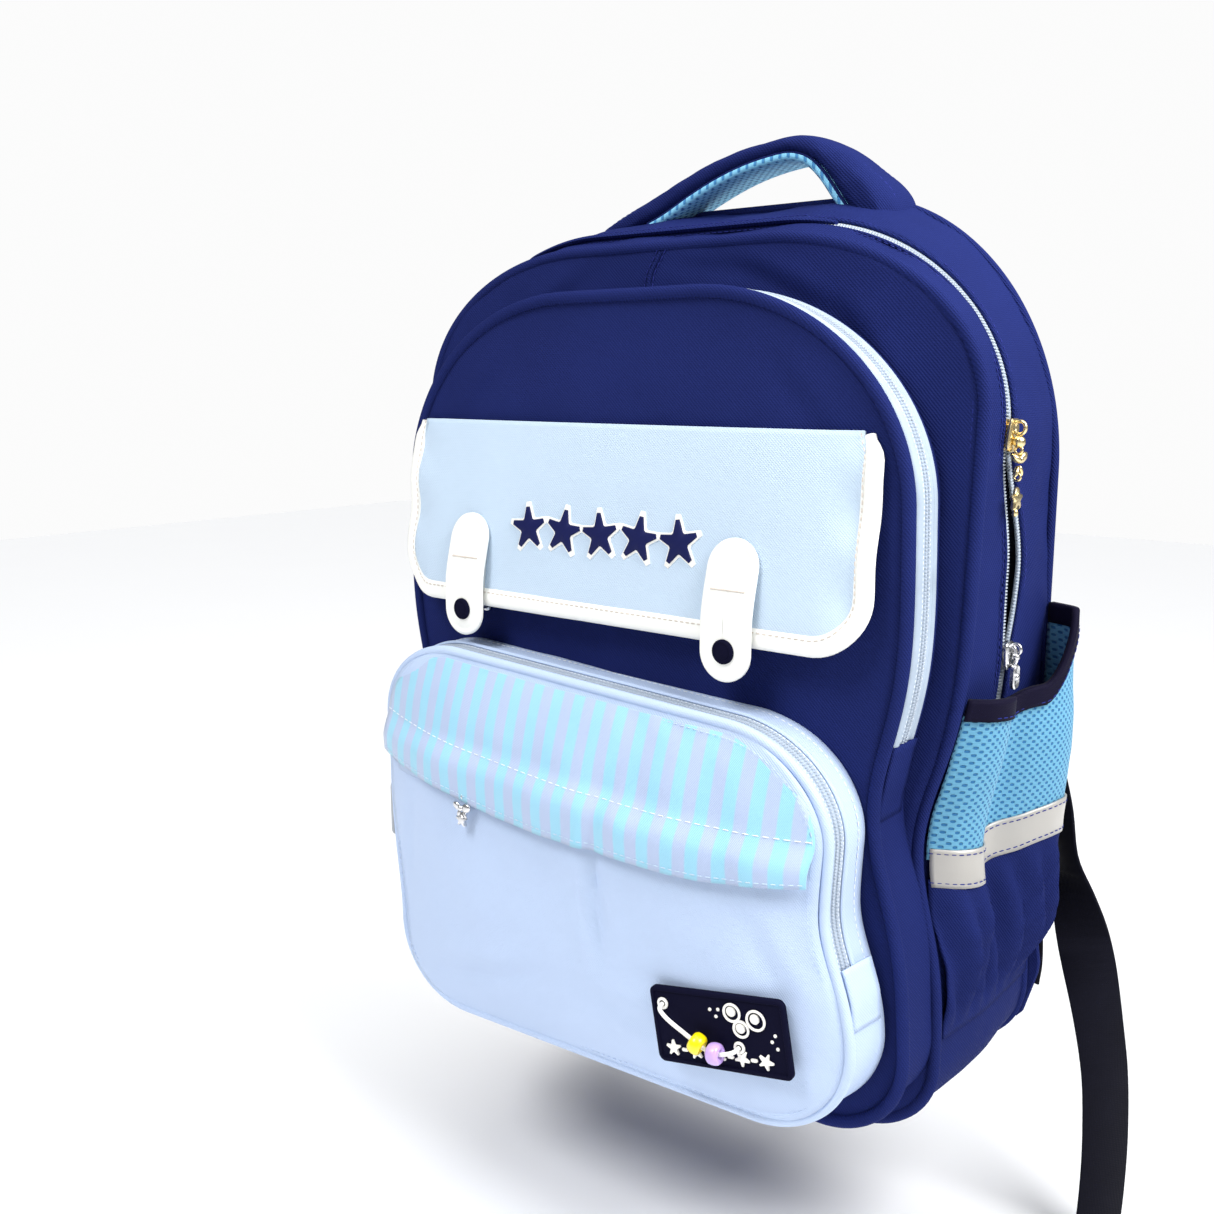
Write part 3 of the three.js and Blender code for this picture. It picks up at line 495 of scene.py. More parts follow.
def rounded(half_w, half_h, r, count=8):
    """A rounded rectangle's outline."""
    points = []
    for k, (sx, sz) in enumerate([(1, -1), (1, 1), (-1, 1), (-1, -1)]):
        a = np.linspace(-math.pi / 2, 0, count) + k * math.pi / 2
        points += [(sx * (half_w - r) + r * math.cos(v), sz * (half_h - r) + r * math.sin(v)) for v in a]
    return np.array(points)


def star(radius, inner=0.5, turn=0.0, centre=(0, 0)):
    """A five-pointed star's outline, with blunt points."""
    points = []
    for k in range(10):
        r = radius if k % 2 == 0 else radius * inner
        for d in (-0.10, 0.10):
            a = math.pi / 2 + turn + k * math.pi / 5 + d
            points.append((centre[0] + r * math.cos(a), centre[1] + r * math.sin(a)))
    return np.array(points)


def ruffle(p, size=45.0, seed=0.0):
    """Gentle cloth unevenness at a point, between about -1 and 1."""
    x, y, z = (v / size for v in p)
    broad = noise.noise(Vector((x + seed, y, z)))
    return broad + 0.45 * noise.noise(Vector((x * 2.7, y * 2.7 + seed, z * 2.7)))


# ------------------ outlines, as in the CAD
MAIN = dict(low=148.5, slope=0.026, top=387, bottom=-5, topR=(106, 74), botR=(38, 36), waist=(0.1, 130, 46))
BACK = dict(low=152, slope=0.018, top=409, bottom=-5, topR=(103, 122), botR=(42, 42), waist=(0.03, 110, 50))
MID = dict(low=150.5, slope=-0.035, top=364, bottom=7, topR=(100, 87), botR=(42, 40), waist=(0.1, 150, 45))
POCKET = dict(low=134, slope=-0.02, top=190, bottom=10, topR=(50, 42), botR=(46, 42), waist=(0.02, 118, 30))
Y_MID, Y_POCKET = -30.0, -58.0
ZIP_END = 0.461  # where on the outline the main zip starts and ends
PIPING = 2.8


def half_width(spec, z):
    depth, height, spread = spec["waist"]
    return (spec["low"] + spec["slope"] * z) * (1 - depth * math.exp(-(((z - height) / spread) ** 2)))


# where along an outline its base, lower corner, side and upper corner end
BASE_END, CORNER_END, SIDE_END, SHOULDER_END = 0.15, 0.35, 0.65, 0.9


def edge(spec, u):
    """The right half of an outline, from bottom centre (0) to top centre (1)."""
    (rx, rz), (bx, bz) = spec["topR"], spec["botR"]
    if u < BASE_END:
        return (half_width(spec, spec["bottom"]) - bx) * u / BASE_END, spec["bottom"]
    if u < CORNER_END:
        a = (u - BASE_END) / (CORNER_END - BASE_END) * math.pi / 2
        z = spec["bottom"] + bz * (1 - math.cos(a))
        return half_width(spec, z) - bx * (1 - math.sin(a)), z
    if u <= SIDE_END:
        z = lerp(spec["bottom"] + bz, spec["top"] - rz, (u - CORNER_END) / (SIDE_END - CORNER_END))
        return half_width(spec, z), z
    if u < SHOULDER_END:
        a = (u - SIDE_END) / (SHOULDER_END - SIDE_END) * math.pi / 2
        z = spec["top"] - rz * (1 - math.sin(a))
        return half_width(spec, z) - rx * (1 - math.cos(a)), z
    return (half_width(spec, spec["top"]) - rx) * (1 - u) / (1 - SHOULDER_END), spec["top"]


def rim(spec, u, out=0.0):
    x, z = edge(spec, u)
    a, b = edge(spec, max(0, u - 0.01)), edge(spec, min(1, u + 0.01))
    length = math.hypot(b[0] - a[0], b[1] - a[1])
    return x + out * (b[1] - a[1]) / length, z - out * (b[0] - a[0]) / length


def back_y(z):
    return 70 + 0.065 * (390 - z)


def flank(u, y, out=0.0):
    """The main compartment's wall at depth y, bowed a little between its seams."""
    a, b = rim(MAIN, u, out), rim(BACK, u, out)
    t = min(1.0, y / back_y(b[1]))
    bow = rim(MAIN, u, out + 2.5 * math.sin(math.pi * t))
    return lerp(a[0], b[0], t) + bow[0] - a[0], lerp(a[1], b[1], t) + bow[1] - a[1]


def around(u0, u1, count, lower=False):
    """(u, side) up the right and down the left, or for the lower part from left to right under the base."""
    us = np.linspace(u0, u1, count)
    if lower:
        return [(u, -1) for u in us[::-1]] + [(u, 1) for u in us[1:]]
    return [(u, 1) for u in us] + [(u, -1) for u in us[::-1][1:]]


def wall_points(where, place_at, ys, out=0.0, settle=None, wrinkle=0.0, seed=0.0):
    """A grid of points on a gusset: one row for each (u, side), one column for each depth function in ys."""
    rows = []
    for u, side in where:
        row = []
        for y_at in ys:
            y = depth_at(y_at, u, side)
            x, z = place_at(u, y, out)
            if wrinkle:
                k = wrinkle * ruffle((side * x, y, z), 42, seed)
                x, z = place_at(u, y, out + k)
            p = (side * x, y, z)
            row.append(settle(p) if settle else p)
        rows.append(row)
    return np.array(rows)


def line_on(where, place_at, y_at, out, settle=None):
    """A path on a gusset with its outward normals."""
    path = wall_points(where, place_at, [y_at], out, settle)[:, 0]
    beyond = wall_points(where, place_at, [y_at], out + 1, settle)[:, 0]
    return path, unit(beyond - path)


def loop_path(spec, y, out=0.0, step=3.0, settle=None):
    """An outline's closed path, evenly spaced, with normals that face forward."""
    us = np.linspace(0, 1, 220)
    right = [rim(spec, u, out) for u in us]
    left = [(-x, z) for x, z in right[::-1]]
    points = np.array([(x, y, z) for x, z in right[:-1] + left[:-1]])
    if settle:
        points = np.array([settle(p) for p in points])
    return resample(points, step, True)


def face_points(spec, inset, y_at, rows, cols, settle=None, low=None, high=None):
    """A panel's grid inside an outline: rows up, columns across."""
    us = np.linspace(BASE_END, SHOULDER_END, 200)
    xs, zs = np.array([rim(spec, u, -inset) for u in us]).T
    low = spec["bottom"] + inset if low is None else low
    high = spec["top"] - inset if high is None else high
    fall = (1 - np.cos(np.linspace(0, math.pi, rows))) / 2
    heights = low + (high - low) * (0.25 * np.linspace(0, 1, rows) + 0.75 * fall)
    out = []
    for z in heights:
        half = np.interp(z, zs, xs)
        row = [(half * s, y_at(half * s, z), z) for s in np.linspace(-1, 1, cols)]
        out.append([settle(p) if settle else p for p in row])
    return np.array(out)


# ------------------ main compartment
SIDES = (("right", 1), ("left", -1))
TAPE = 5.4  # half the zip's width, from its middle line to the gussets
CLOTH = 1.8  # the gussets' thickness
SUNK = -0.8  # the gussets' middle surface, below the outline
OPEN_LOW, OPEN_HIGH = 212, 299  # the heights between which the main zip stands open


def zip_y(z):
    return 20 + 14 * smooth((300 - z) / 50)


def zip_line(u):
    return zip_y(flank(u, 25)[1])


def parted(u, side):
    """How far the open zip's lips have spread, on the right between the two sliders."""
    t = (flank(u, 30)[1] - OPEN_LOW) / (OPEN_HIGH - OPEN_LOW)
    return math.sin(math.pi * t) ** 0.8 if side > 0 and 0 < t < 1 else 0.0


def before_zip(d):
    return lambda u, side: zip_line(u) - 3.0 * parted(u, side) - d


def behind_zip(d):
    return lambda u, side: zip_line(u) + 7.0 * parted(u, side) + d


def depth_at(y, u, side):
    return y(u, side) if callable(y) else y


def spread(a, b, count):
    """Depth functions evenly spaced from a to b."""
    return [lambda u, side, t=t: lerp(depth_at(a, u, side), depth_at(b, u, side), t)
            for t in np.linspace(0, 1, count)]


def to_back(u, side):
    return back_y(edge(BACK, u)[1]) - 0.5


upper = around(ZIP_END, 1, 110)
lower = around(0, ZIP_END - 0.002, 80, True)
for name, where, ys, wrinkle, seed in (
        ("front_gusset", upper, spread(1.0, before_zip(TAPE - 1), 9), 1.6, 0.0),
        ("rear_gusset", upper, spread(behind_zip(TAPE - 1), to_back, 16), 2.2, 3),
        ("base_gusset", lower, spread(1.0, to_back, 22), 1.4, 5)):
    grid(name, wall_points(where, flank, ys, SUNK, None, wrinkle, seed), "navy_twill", thick=CLOTH)
for name, ys in (("front", spread(before_zip(TAPE + 1), before_zip(0.3), 4)),
                 ("rear", spread(behind_zip(0.3), behind_zip(TAPE + 1), 4))):
    name = f"main_zip_{name}_tape"
    grid(name, wall_points(upper, flank, ys, -1.6), "zip_tape", thick=0.8)
for name, line in (("front", before_zip), ("rear", behind_zip)):
    bars(f"main_zip_{name}_teeth", *line_on(upper, flank, line(0.9), -0.9), 1.45, (0.95, 2.6, 1.5), "zip_coil")
    ribbon(f"main_zip_{name}_welt", *line_on(upper, flank, line(TAPE - 1), -0.2), round_profile(0.9, 8),
           "navy_twill")
    stitches(f"main_zip_{name}_stitches", *line_on(upper, flank, line(TAPE + 1.2), 0.2))
# the cloth that covers the zip across the top, narrower at its ends
covered = [(u, 1) for u in np.linspace(0.865, 1, 40)] + [(u, -1) for u in np.linspace(1, 0.80, 60)[1:]]
from_end = np.minimum(np.arange(len(covered)), np.arange(len(covered))[::-1])
path, normals = line_on(covered, flank, lambda u, side: zip_line(u) - 0.5, 0.5)
ribbon("main_zip_cover", path, normals, round_profile(6.6, 14, 0.3), "navy_twill",
       widths=np.minimum(1, 0.25 + from_end / 14))
for name, shift in (("front", -4.2), ("rear", 3.4)):
    path, normals = line_on(covered[8:-8], flank, lambda u, side: zip_line(u) + shift, 1.9)
    stitches(f"main_zip_cover_{name}_stitches", path, normals)


def fold(x, z, x0, z0, angle, long, wide, deep):
    """A soft crease of the given length, width and depth, lying at an angle through a point."""
    c, s = math.cos(angle), math.sin(angle)
    a, b = (x - x0) * c + (z - z0) * s, -(x - x0) * s + (z - z0) * c
    ridge = math.exp(-((b / wide) ** 2)) - 0.5 * math.exp(-(((b - 1.6 * wide) / wide) ** 2))
    return deep * math.exp(-((a / long) ** 2)) * ridge


def folds(x, z, rows):
    return sum(fold(x, z, *row) for row in rows)


MAIN_FOLDS = ((62, 366, -0.45, 34, 5, 1.8), (108, 330, -1.0, 30, 5, 1.8), (-70, 362, 0.5, 30, 5, 1.5),
              (128, 262, 1.35, 40, 5, 1.5), (26, 376, -0.15, 26, 4, 1.2))


def main_y(x, z):
    across, up = abs(x / 152), abs((z - 191) / 197)
    inside = (1 - across ** 6) * (1 - up ** 8)
    bulge = 3.4 * (1 - across ** 4) * (1 - up ** 4)
    return -0.6 - bulge + inside * (2.0 * folds(x, z, MAIN_FOLDS) + 2.3 * ruffle((x, 0, z), 46, 8))


grid("main_front_panel", face_points(MAIN, 1.5, main_y, 90, 61), "navy_twill", thick=1.6)
tube("main_piping", loop_path(MAIN, 0), PIPING, "navy_twill", True)
stitches("main_piping_stitches", loop_path(MAIN, -1.2, -4.6), FRONT, closed=True)

seam = spline([(-8.5, 0, 366), (-8.2, 0, 371), (-7, 0, 376), (-4, 0, 381), (-2, 0, 384.5)], 30)
seam[:, 1] = [main_y(x, z) - 0.9 for x, _, z in seam]
tube("main_panel_seam", seam, 1.0, "navy_twill", sides=8)
for side, shift in (("left", -2.4), ("right", 2.4)):
    stitches(f"main_panel_seam_stitches_{side}", seam + (shift, -0.3, 0), FRONT)

grid("back_panel", face_points(BACK, 1.0, lambda x, z: back_y(z) + 1.2, 60, 41), "navy_twill", thick=2.0)
path = loop_path(BACK, 0)
path[:, 1] = [back_y(z) for z in path[:, 2]]
tube("back_piping", path, 2.2, "navy_twill", True)

# ------------------ middle compartment


def mid_at(u, y, out):
    return rim(MID, u, out)


MID_FOLDS = ((-88, 322, 0.75, 26, 5, 1.0), (92, 318, -0.8, 26, 5, 1.0))


def mid_y(x, z):
    across, up = min(1, abs(x / 147)), min(1, abs((z - 185) / 178))
    crown = 6.5 * (1 - across ** 2.4) * (1 - up ** 2.4)
    soft = 2.2 * folds(x, z, MID_FOLDS) + 1.6 * ruffle((x, 0, z), 50, 2)
    return Y_MID + 1.2 - crown + soft * (1 - across ** 4) * (1 - up ** 6)


whole = around(0, 1, 130)[:-1]
grid("mid_gusset", wall_points(whole, mid_at, spread(Y_MID + 1, -0.5, 8), SUNK, None, 0.9, 11), "navy_twill", True,
     thick=CLOTH)
grid("mid_front_panel", face_points(MID, 1.5, mid_y, 80, 55), "navy_twill", thick=1.6)
tube("mid_piping", loop_path(MID, Y_MID), PIPING, "navy_twill", True)


def pocket_at(u, y, out):
    return rim(POCKET, u, out + (y - Y_POCKET) * 0.12)


def settled(p):
    """The filled pocket sags to one side, as in the CAD."""
    x, y, z = p
    drop = lerp(-0.055, 0.05, smooth((z - 40) / 110))
    return x + lerp(6, -4, smooth((z - 50) / 70)), y, z - drop * x


def zip_band(name, place_at, u0, front, teeth, rear, hides, settle=None, trim="navy_twill", sunk=0.0,
             tab_long=0.04, tab_wide=1.5):
    """A closed zip along a gusset: its tape, coil, welts, stitches and a fabric tab over each end."""
    where = around(u0, 1, 100)

    def line(y, out):
        return line_on(where, place_at, y, out, settle)

    tape = wall_points(where, place_at, spread(front, rear, 6), 0.9 - sunk, settle)
    grid(f"{name}_tape", tape, "zip_tape", hides=hides, thick=0.9)
    for row, k in (("front", -1), ("rear", 1)):
        bars(f"{name}_coil_{row}", *line(teeth + 1.3 * k, 1.4 - sunk), 1.45, (1.05, 2.0, 1.3), "zip_coil")
        stitches(f"{name}_{row}_stitches", *line(teeth + 3.0 * k, 1.25 - sunk), "white_thread", 2.2)
    if teeth - front > 6:  # a wide tape has room for two more welts
        ribbon(f"{name}_front_welt", *line(front + 2.6, 1.2), round_profile(2.9, 10, 0.45), "zip_tape")
        ribbon(f"{name}_middle_welt", *line(rear - 1.6, 1.0), round_profile(2.0, 10, 0.5), "zip_tape")
    ribbon(f"{name}_rear_welt", *line(rear + 0.7, 0.8), round_profile(1.3, 8, 0.8), trim)
    for end, side in SIDES:
        tab = [(u, side) for u in np.linspace(u0 - tab_long, u0 + 0.004, 12)]
        ys = spread(front - 0.5, rear + tab_wide, 7)
        low, high = (wall_points(tab, place_at, ys, out, settle) for out in (0.3, 2.2))
        rise = np.array([smooth(i / 6) for i in range(12)])[:, None, None]
        grid(f"{name}_end_{end}", low + (high - low) * rise, trim, thick=1.3)


zip_band("mid_zip", mid_at, 0.52, front=Y_MID + 3.4, teeth=-16.8, rear=-8.0, hides=["mid_zip"])

# ------------------ front pocket
POCKET_FOLDS = ((20, 98, 1.45, 34, 4.5, 1.5), (-112, 92, 1.2, 30, 5, 1.2), (104, 96, -1.25, 30, 5, 1.2),
                (-60, 40, 0.25, 40, 6, 1.0), (30, 44, -0.2, 30, 6, 0.8))


def pocket_y(x, z):
    across, up = min(1, abs(x / 134)), min(1, abs((z - 100) / 90))
    crown = 16 * (1 - across ** 4) * (1 - up ** 3)
    soft = 2.2 * folds(x, z, POCKET_FOLDS) + 1.7 * ruffle((x, 0, z), 50, 6)
    return Y_POCKET - crown + soft * (1 - across ** 4) * (1 - up ** 6)


grid("pocket_gusset", wall_points(whole, pocket_at, spread(Y_POCKET + 1, Y_MID - 3.2, 7), SUNK, settled, 0.4, 4),
     "pale_twill", True, thick=1.6)
grid("pocket_face", face_points(POCKET, 1.3, pocket_y, 72, 61, settled), "pale_twill", thick=1.6)
tube("pocket_piping", loop_path(POCKET, Y_POCKET, 0, 3, settled), 2.4, "pale_twill", True)
zip_band("pocket_zip", pocket_at, 0.47, front=Y_POCKET + 2.6, teeth=-51.8, rear=-47.6, hides=["pocket_zip"],
         settle=settled, trim="pale_twill", sunk=0.9, tab_long=0.09, tab_wide=11.0)
stitches("pocket_gusset_stitches", *line_on(around(0.47, 1, 100), pocket_at, -38, 0.2, settled), "white_thread")
path = loop_path(POCKET, 0, -4.2, 3, settled)
path[:, 1] = [pocket_y(x, z) - 1.0 for x, _, z in path]
stitches("pocket_face_stitches", path, FRONT, "pale_twill", closed=True)

# ------------------ striped panel and lip
LIP_LINE = 150.5  # the height of the lip's seam
LIP_LOW = 123  # the lowest row of the striped cloth


def stripe_y(x, z):
    stand = 1.6 + 4.4 * smooth((153 - z) / 14) - 1.4 * smooth((138 - z) / 14)
    return pocket_y(x, z) - stand - 0.5 * noise.noise(Vector((x / 21, z / 40, 2.2)))


def stripe_point(x, z):
    """A point of the striped cloth: below the lip's seam, heights stretch down to its free edge."""
    half = np.interp(z, STRIPE_Z, STRIPE_HALF)
    free = 122.5 + 9 * (x / 115) ** 2 + 0.6 * math.sin(x / 17)
    if z < LIP_LINE:
        z = lerp(free, LIP_LINE, (z - LIP_LOW) / (LIP_LINE - LIP_LOW))
    return settled((x * half / 126, stripe_y(x, z), z))


def stripe_line(half, height, out, count=90):
    """A level line across the striped cloth, in front of it."""
    return np.array([stripe_point(x, height(x)) for x in np.linspace(-half, half, count)]) - (0, out, 0)


STRIPE_HALF, STRIPE_Z = np.array([rim(POCKET, u, -3.4) for u in np.linspace(0.4, SHOULDER_END, 120)]).T
top_edge = POCKET["top"] - 3.6
heights = np.concatenate([np.linspace(LIP_LOW, 156, 15), np.linspace(158, 172, 8),
                          172 + (top_edge - 172) * np.sin(np.linspace(0.15, 1, 12) * math.pi / 2)])
LIP_BEND = ("bag", "weather_lip", (0, -80, LIP_LINE + 3), (0, -80, LIP_LINE - 3))
grid("striped_cloth", [stripe_line(126, lambda x: z, 0, 85) for z in heights], "striped_twill",
     hides=["striped_panel", "striped_lip"], thick=1.3, bend=LIP_BEND)
stitches("striped_stitches", stripe_line(124, lambda x: 147.5 + 5 * (x / 120) ** 2, 0.9), FRONT, "white_thread",
         4.4, bend=LIP_BEND)
stitches("lip_hem_stitches", stripe_line(124, lambda x: 126, 0.8), FRONT, "sky_twill", 3.6, body="weather_lip")

slit = np.array([[settled((x, pocket_y(x, z) - 1.1, z + 0.047 * x)) for x in np.linspace(-117, 117, 70)]
                 for z in np.linspace(130, 144, 5)])
grid("slit_zip_tape", slit, "pale_twill", hides=["slit_zip"], thick=0.8)
bars("slit_zip_teeth", slit[2] - (0, 0.9, 0), FRONT, 1.5, (0.95, 4.4, 1.4), "zip_coil")

# ------------------ flap with its motif
FLAP_X, FLAP_HALF, FLAP_LOW, FLAP_HIGH, FLAP_CORNER = -3.0, 134.5, 216.8, 306.0, 24.0


def flap_y(x, z):
    across, down = abs(x - FLAP_X) / FLAP_HALF, max(0.0, FLAP_HIGH - z) / (FLAP_HIGH - FLAP_LOW)
    top = -36.0 + 4.5 * across ** 2.5
    fall = lerp(top, -45.5, down ** 0.85) + 4.5 * smooth((across - 0.82) / 0.2) * down
    pucker = 1.1 * math.exp(-(((across - 0.93) / 0.06) ** 2)) * math.sin(z / 5.5 + 2 * x / FLAP_HALF)
    return fall + 1.0 * pucker + 0.6 * ruffle((x, 0, z), 60, 4) * min(1, down * 3)


def flap_edge(inset):
    """The flap's edge from its top left corner, down, along the bottom and up to its top right corner."""
    half, low, r = FLAP_HALF - inset, FLAP_LOW + inset, FLAP_CORNER - inset
    corner = np.linspace(0.06, 1.51, 12)
    sides = np.linspace(FLAP_HIGH - 0.5, low + r, 34)
    tuck = [3.2 * smooth((z - FLAP_HIGH + 11) / 11) ** 1.5 for z in sides]  # the edge turns in at the top seam
    points = [(-half + k, z) for k, z in zip(tuck, sides)]
    points += [(-half + r * (1 - math.cos(a)), low + r * (1 - math.sin(a))) for a in corner]
    points += [(x, low) for x in np.linspace(-half + r, half - r, 50)]
    points += [(half - r * (1 - math.sin(a)), low + r * (1 - math.cos(a))) for a in corner]
    points += [(half - k, z) for k, z in zip(tuck[::-1], sides[::-1])]
    return np.array([(FLAP_X + x, flap_y(FLAP_X + x, z), z) for x, z in points])


FLAP_BEND = ("bag", "flap", (0, -38, 306), (0, -39, 298))


def flap_row(z):
    """The flap's cloth at one height, inside its binding."""
    r = FLAP_CORNER - 5
    drop = max(0.0, FLAP_LOW + 5 + r - z) / r
    half = FLAP_HALF - 5 - r * (1 - math.sqrt(max(0.0, 1 - drop ** 2))) - 5 * smooth((z - FLAP_HIGH + 9) / 9)
    return [(FLAP_X + half * s, flap_y(FLAP_X + half * s, z), z) for s in np.linspace(-1, 1, 91)]


heights = np.concatenate([FLAP_LOW + 5.2 + 22 * (1 - np.cos(np.linspace(0, math.pi / 2, 14))),
                          np.linspace(247, 307, 26)])
grid("flap_panel", [flap_row(z) for z in heights], "sky_twill", thick=2.6, bend=FLAP_BEND)
STEP = 2.6
path = resample(flap_edge(4.6), STEP)
from_end = STEP * np.minimum(np.arange(len(path)), np.arange(len(path))[::-1])
ribbon("flap_binding", path, (0.05, -1, 0.1), round_profile(4.8, 16, 0.52), "white_vinyl",
       widths=1 - 0.5 * np.exp(-(from_end / 7) ** 2), bend=FLAP_BEND)
stitches("flap_edge_stitches", resample(flap_edge(7.0), 3) - (0, 2.5, 0), FRONT, "tan_thread", 3.0, bend=FLAP_BEND)
STARS = (-48, -26, -4, 18, 40)
tilt = (0, (flap_y(0, 262) - flap_y(0, 252)) / 10, 1)
for name, radius, base, top, mat in (("outline", 12.6, 0.0, 2.0, "white_print"),
                                     ("stars", 10.2, 1.2, 2.7, "navy_print")):
    levels = [(0, base), (0, top - 0.4), (0.9, top), (radius * 0.9, top + 0.05)]
    shapes = [plate_shape(star(radius, 0.5, 0.12 * (-1) ** k), levels, (x, flap_y(x, 257), 257), X, tilt, True)
              for k, x in enumerate(STARS)]
    merged(f"flap_motif_{name}", shapes, mat, body="flap", hides=["flap_motif"] if name == "stars" else ())

# ------------------ closure tabs and snaps
TAB_LEVELS = [(0.9, -1.3), (0, -0.7), (0, 0.7), (0.7, 1.25), (1.9, 1.35), (2.5, 0.95), (3.4, 0.95), (4.0, 1.3),
              (7.5, 1.4), (11.7, 1.4)]
CAP_LEVELS = [(0, 0.8), (0, 2.1), (0.5, 2.6), (1.2, 2.8), (1.6, 2.5), (2.1, 2.7), (3.4, 3.0), (4.6, 3.1)]
TAB_RADIUS, TAB_HIGH, TAB_LOW, SNAP_Z = 12.5, 249.5, 214.1, 214.8


def node_box(name):
    """A CAD node's lowest and highest corners in the bag's own frame."""
    return (np.array(p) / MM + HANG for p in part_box(name))


for side, x0 in (("left", -86.0), ("right", 70.0)):
    body = f"tab_{side}"

    def tab_y(z):
        return lerp(flap_y(x0, 262) - 2.6, -50.4, smooth((266 - z) / 42))

    half_turn = np.linspace(0, math.pi, 22)
    outline = [(TAB_RADIUS * math.cos(a + start), middle + TAB_RADIUS * math.sin(a + start))
               for middle, start in ((TAB_HIGH, 0.0), (TAB_LOW, math.pi)) for a in half_turn]
    points, faces = plate_shape(resample(outline, 1.7, True), TAB_LEVELS, (x0, 0, 0), X, Z)
    points = [(x, y + tab_y(z), z) for x, y, z in points]
    make(f"closure_{body}", points, faces, "white_vinyl",
         bend=("flap", body, (x0, -50, 243), (x0, -50, 236)))
    row = np.array([(x0 + x, tab_y(240.5) - 1.5, 240.5) for x in np.linspace(-8.6, 8.6, 12)])
    ribbon(f"{body}_fold_line", row, FRONT, round_profile(0.32, 6), "tan_thread", body="flap")
    cap = plate_shape(circle(5.3), CAP_LEVELS, (x0, tab_y(SNAP_Z), SNAP_Z), X, Z, True)
    make(f"snap_cap_{side}", *cap, "ink_rubber", body=body)
    low, high = node_box(f"snap_stud_{side}")
    middle, length = (low + high) / 2, high[1] - low[1]
    profile = [(3.2, 0), (3.4, 0.8), (2.2, 1.2), (1.9, length - 1.6), (2.5, length - 0.8), (2.1, length),
               (0.6, length)]
    make(f"snap_stud_{side}", *turned_shape(profile, (middle[0], high[1], middle[2]), FRONT), "steel")

# ------------------ rubber patch with beads
PATCH = np.array((86.5, -73.2, 58.0))
tilt, yaw = math.radians(-10), math.radians(5)
TURN_Y = np.array([[math.cos(tilt), 0, math.sin(tilt)], [0, 1, 0], [-math.sin(tilt), 0, math.cos(tilt)]])
TURN_Z = np.array([[math.cos(yaw), -math.sin(yaw), 0], [math.sin(yaw), math.cos(yaw), 0], [0, 0, 1]])
PATCH_AXES = TURN_Z @ TURN_Y


def on_patch(points):
    return PATCH + np.asarray(points, float) @ PATCH_AXES.T


def badge(outline, low, high, bevel=0.35):
    levels = [(0, low), (0, high - bevel), (bevel, high)]
    return plate_shape(outline, levels, PATCH, PATCH_AXES[:, 0], PATCH_AXES[:, 2], True)


def ring(radius, x, z, thick=1.2):
    across, out, up = PATCH_AXES.T
    return ring_shape(on_patch((x, -1.5, z)), radius, thick / 2, across, up, -out, 26)


levels = [(0.5, -1.2), (0, -0.6), (0, 1.2), (0.6, 1.8), (1.8, 1.8), (2.3, 1.0), (2.9, 1.0)]
patch = plate_shape(rounded(32.5, 17, 3.2), levels, PATCH, PATCH_AXES[:, 0], PATCH_AXES[:, 2])
make("rubber_patch", *patch, "ink_rubber")
DOTS = ((-3.2, 9.4), (-0.6, 6.6), (0.8, 9.8), (24.8, -1.2), (26.6, 1.6), (27.0, -4.0))
white = [ring(3.7, 7.5, 9.3), ring(4.1, 18.5, 7.2), ring(3.4, 11.0, 2.6)]
white += [badge(circle(2.2, 18, centre), 0.8, 1.9) for centre in ((7.1, 9.7), (18.0, 7.7), (10.7, 2.9))]
white += [badge(circle(0.8, 10, centre), 0.8, 1.6) for centre in DOTS]
white += [badge(star(3.6, 0.5, 0.2 * k, (-24 + 11.2 * k, -10.2)), 0.8, 2.0) for k in range(5)]
white += [badge(rounded(1.6, 0.7, 0.6, 4) + (-18.4 + 11.2 * k, -10.4), 0.8, 1.8) for k in range(4)]
white += [ring(2.0, -26.5, 9.5, 1.4), ring(2.0, 9, -5.6, 1.4)]
merged("patch_relief", white, "white_print")
ROUTE = [(-26.5, -1.7, 9.5), (-26, -5, 8.4), (-22, -6.2, 5), (-14, -6.2, -0.5), (-6.5, -6.2, -5.4),
         (-1.5, -6.2, -7.2), (3.5, -6.2, -7.2), (8, -5, -6.2), (9, -1.7, -5.6)]
tube("bead_cord", on_patch(spline(ROUTE, 60)), 0.95, "white_cord", sides=10)
BEAD = [(1.9, -2.6), (2.6, -3.0), (3.6, -2.8), (4.4, -1.9), (4.65, -0.6), (4.65, 0.6), (4.4, 1.9), (3.6, 2.8),
        (2.6, 3.0), (1.9, 2.6), (1.5, 0.8), (1.5, -0.8)]  # the closed section of a bead and its hole
for name, centre, lean in (("yellow_bead", (-8.6, -6.2, -4.1), 0.57), ("lilac_bead", (-0.4, -6.2, -7.4), 0.05)):
    axis = PATCH_AXES @ (math.cos(lean), 0, -math.sin(lean))
    bead = turned_shape(BEAD, on_patch(centre), axis, 28, closed=True)
    make(name, *bead, name.replace("bead", "plastic"), body=name)



# ------------------ side pockets
def side_x(y, z, out=0.0):
    """How far out the bag's side is at depth y and height z."""
    low, high = BASE_END, SHOULDER_END
    for _ in range(22):  # halves the interval until it is far below a micrometre
        middle = (low + high) / 2
        if flank(middle, y)[1] < z:
            low = middle
        else:
            high = middle
    return flank(low, y)[0] + out


# how far back the side pocket's cloth is, and how far it stands out there
PLAN = spline([(0.035, 1.2), (0.12, 11.5), (0.24, 13.5), (0.38, 4.5), (0.48, 4.2), (0.6, 13), (0.76, 20), (0.9, 18),
               (0.985, 1.8)], 53)


def pocket_top(t):
    return 197 - 5 * math.exp(-(((t - 0.42) / 0.1) ** 2)) + 31 * smooth((t - 0.6) / 0.3)


def strip_low(t):
    return 112 + 12 * smooth((t - 0.3) / 0.5)


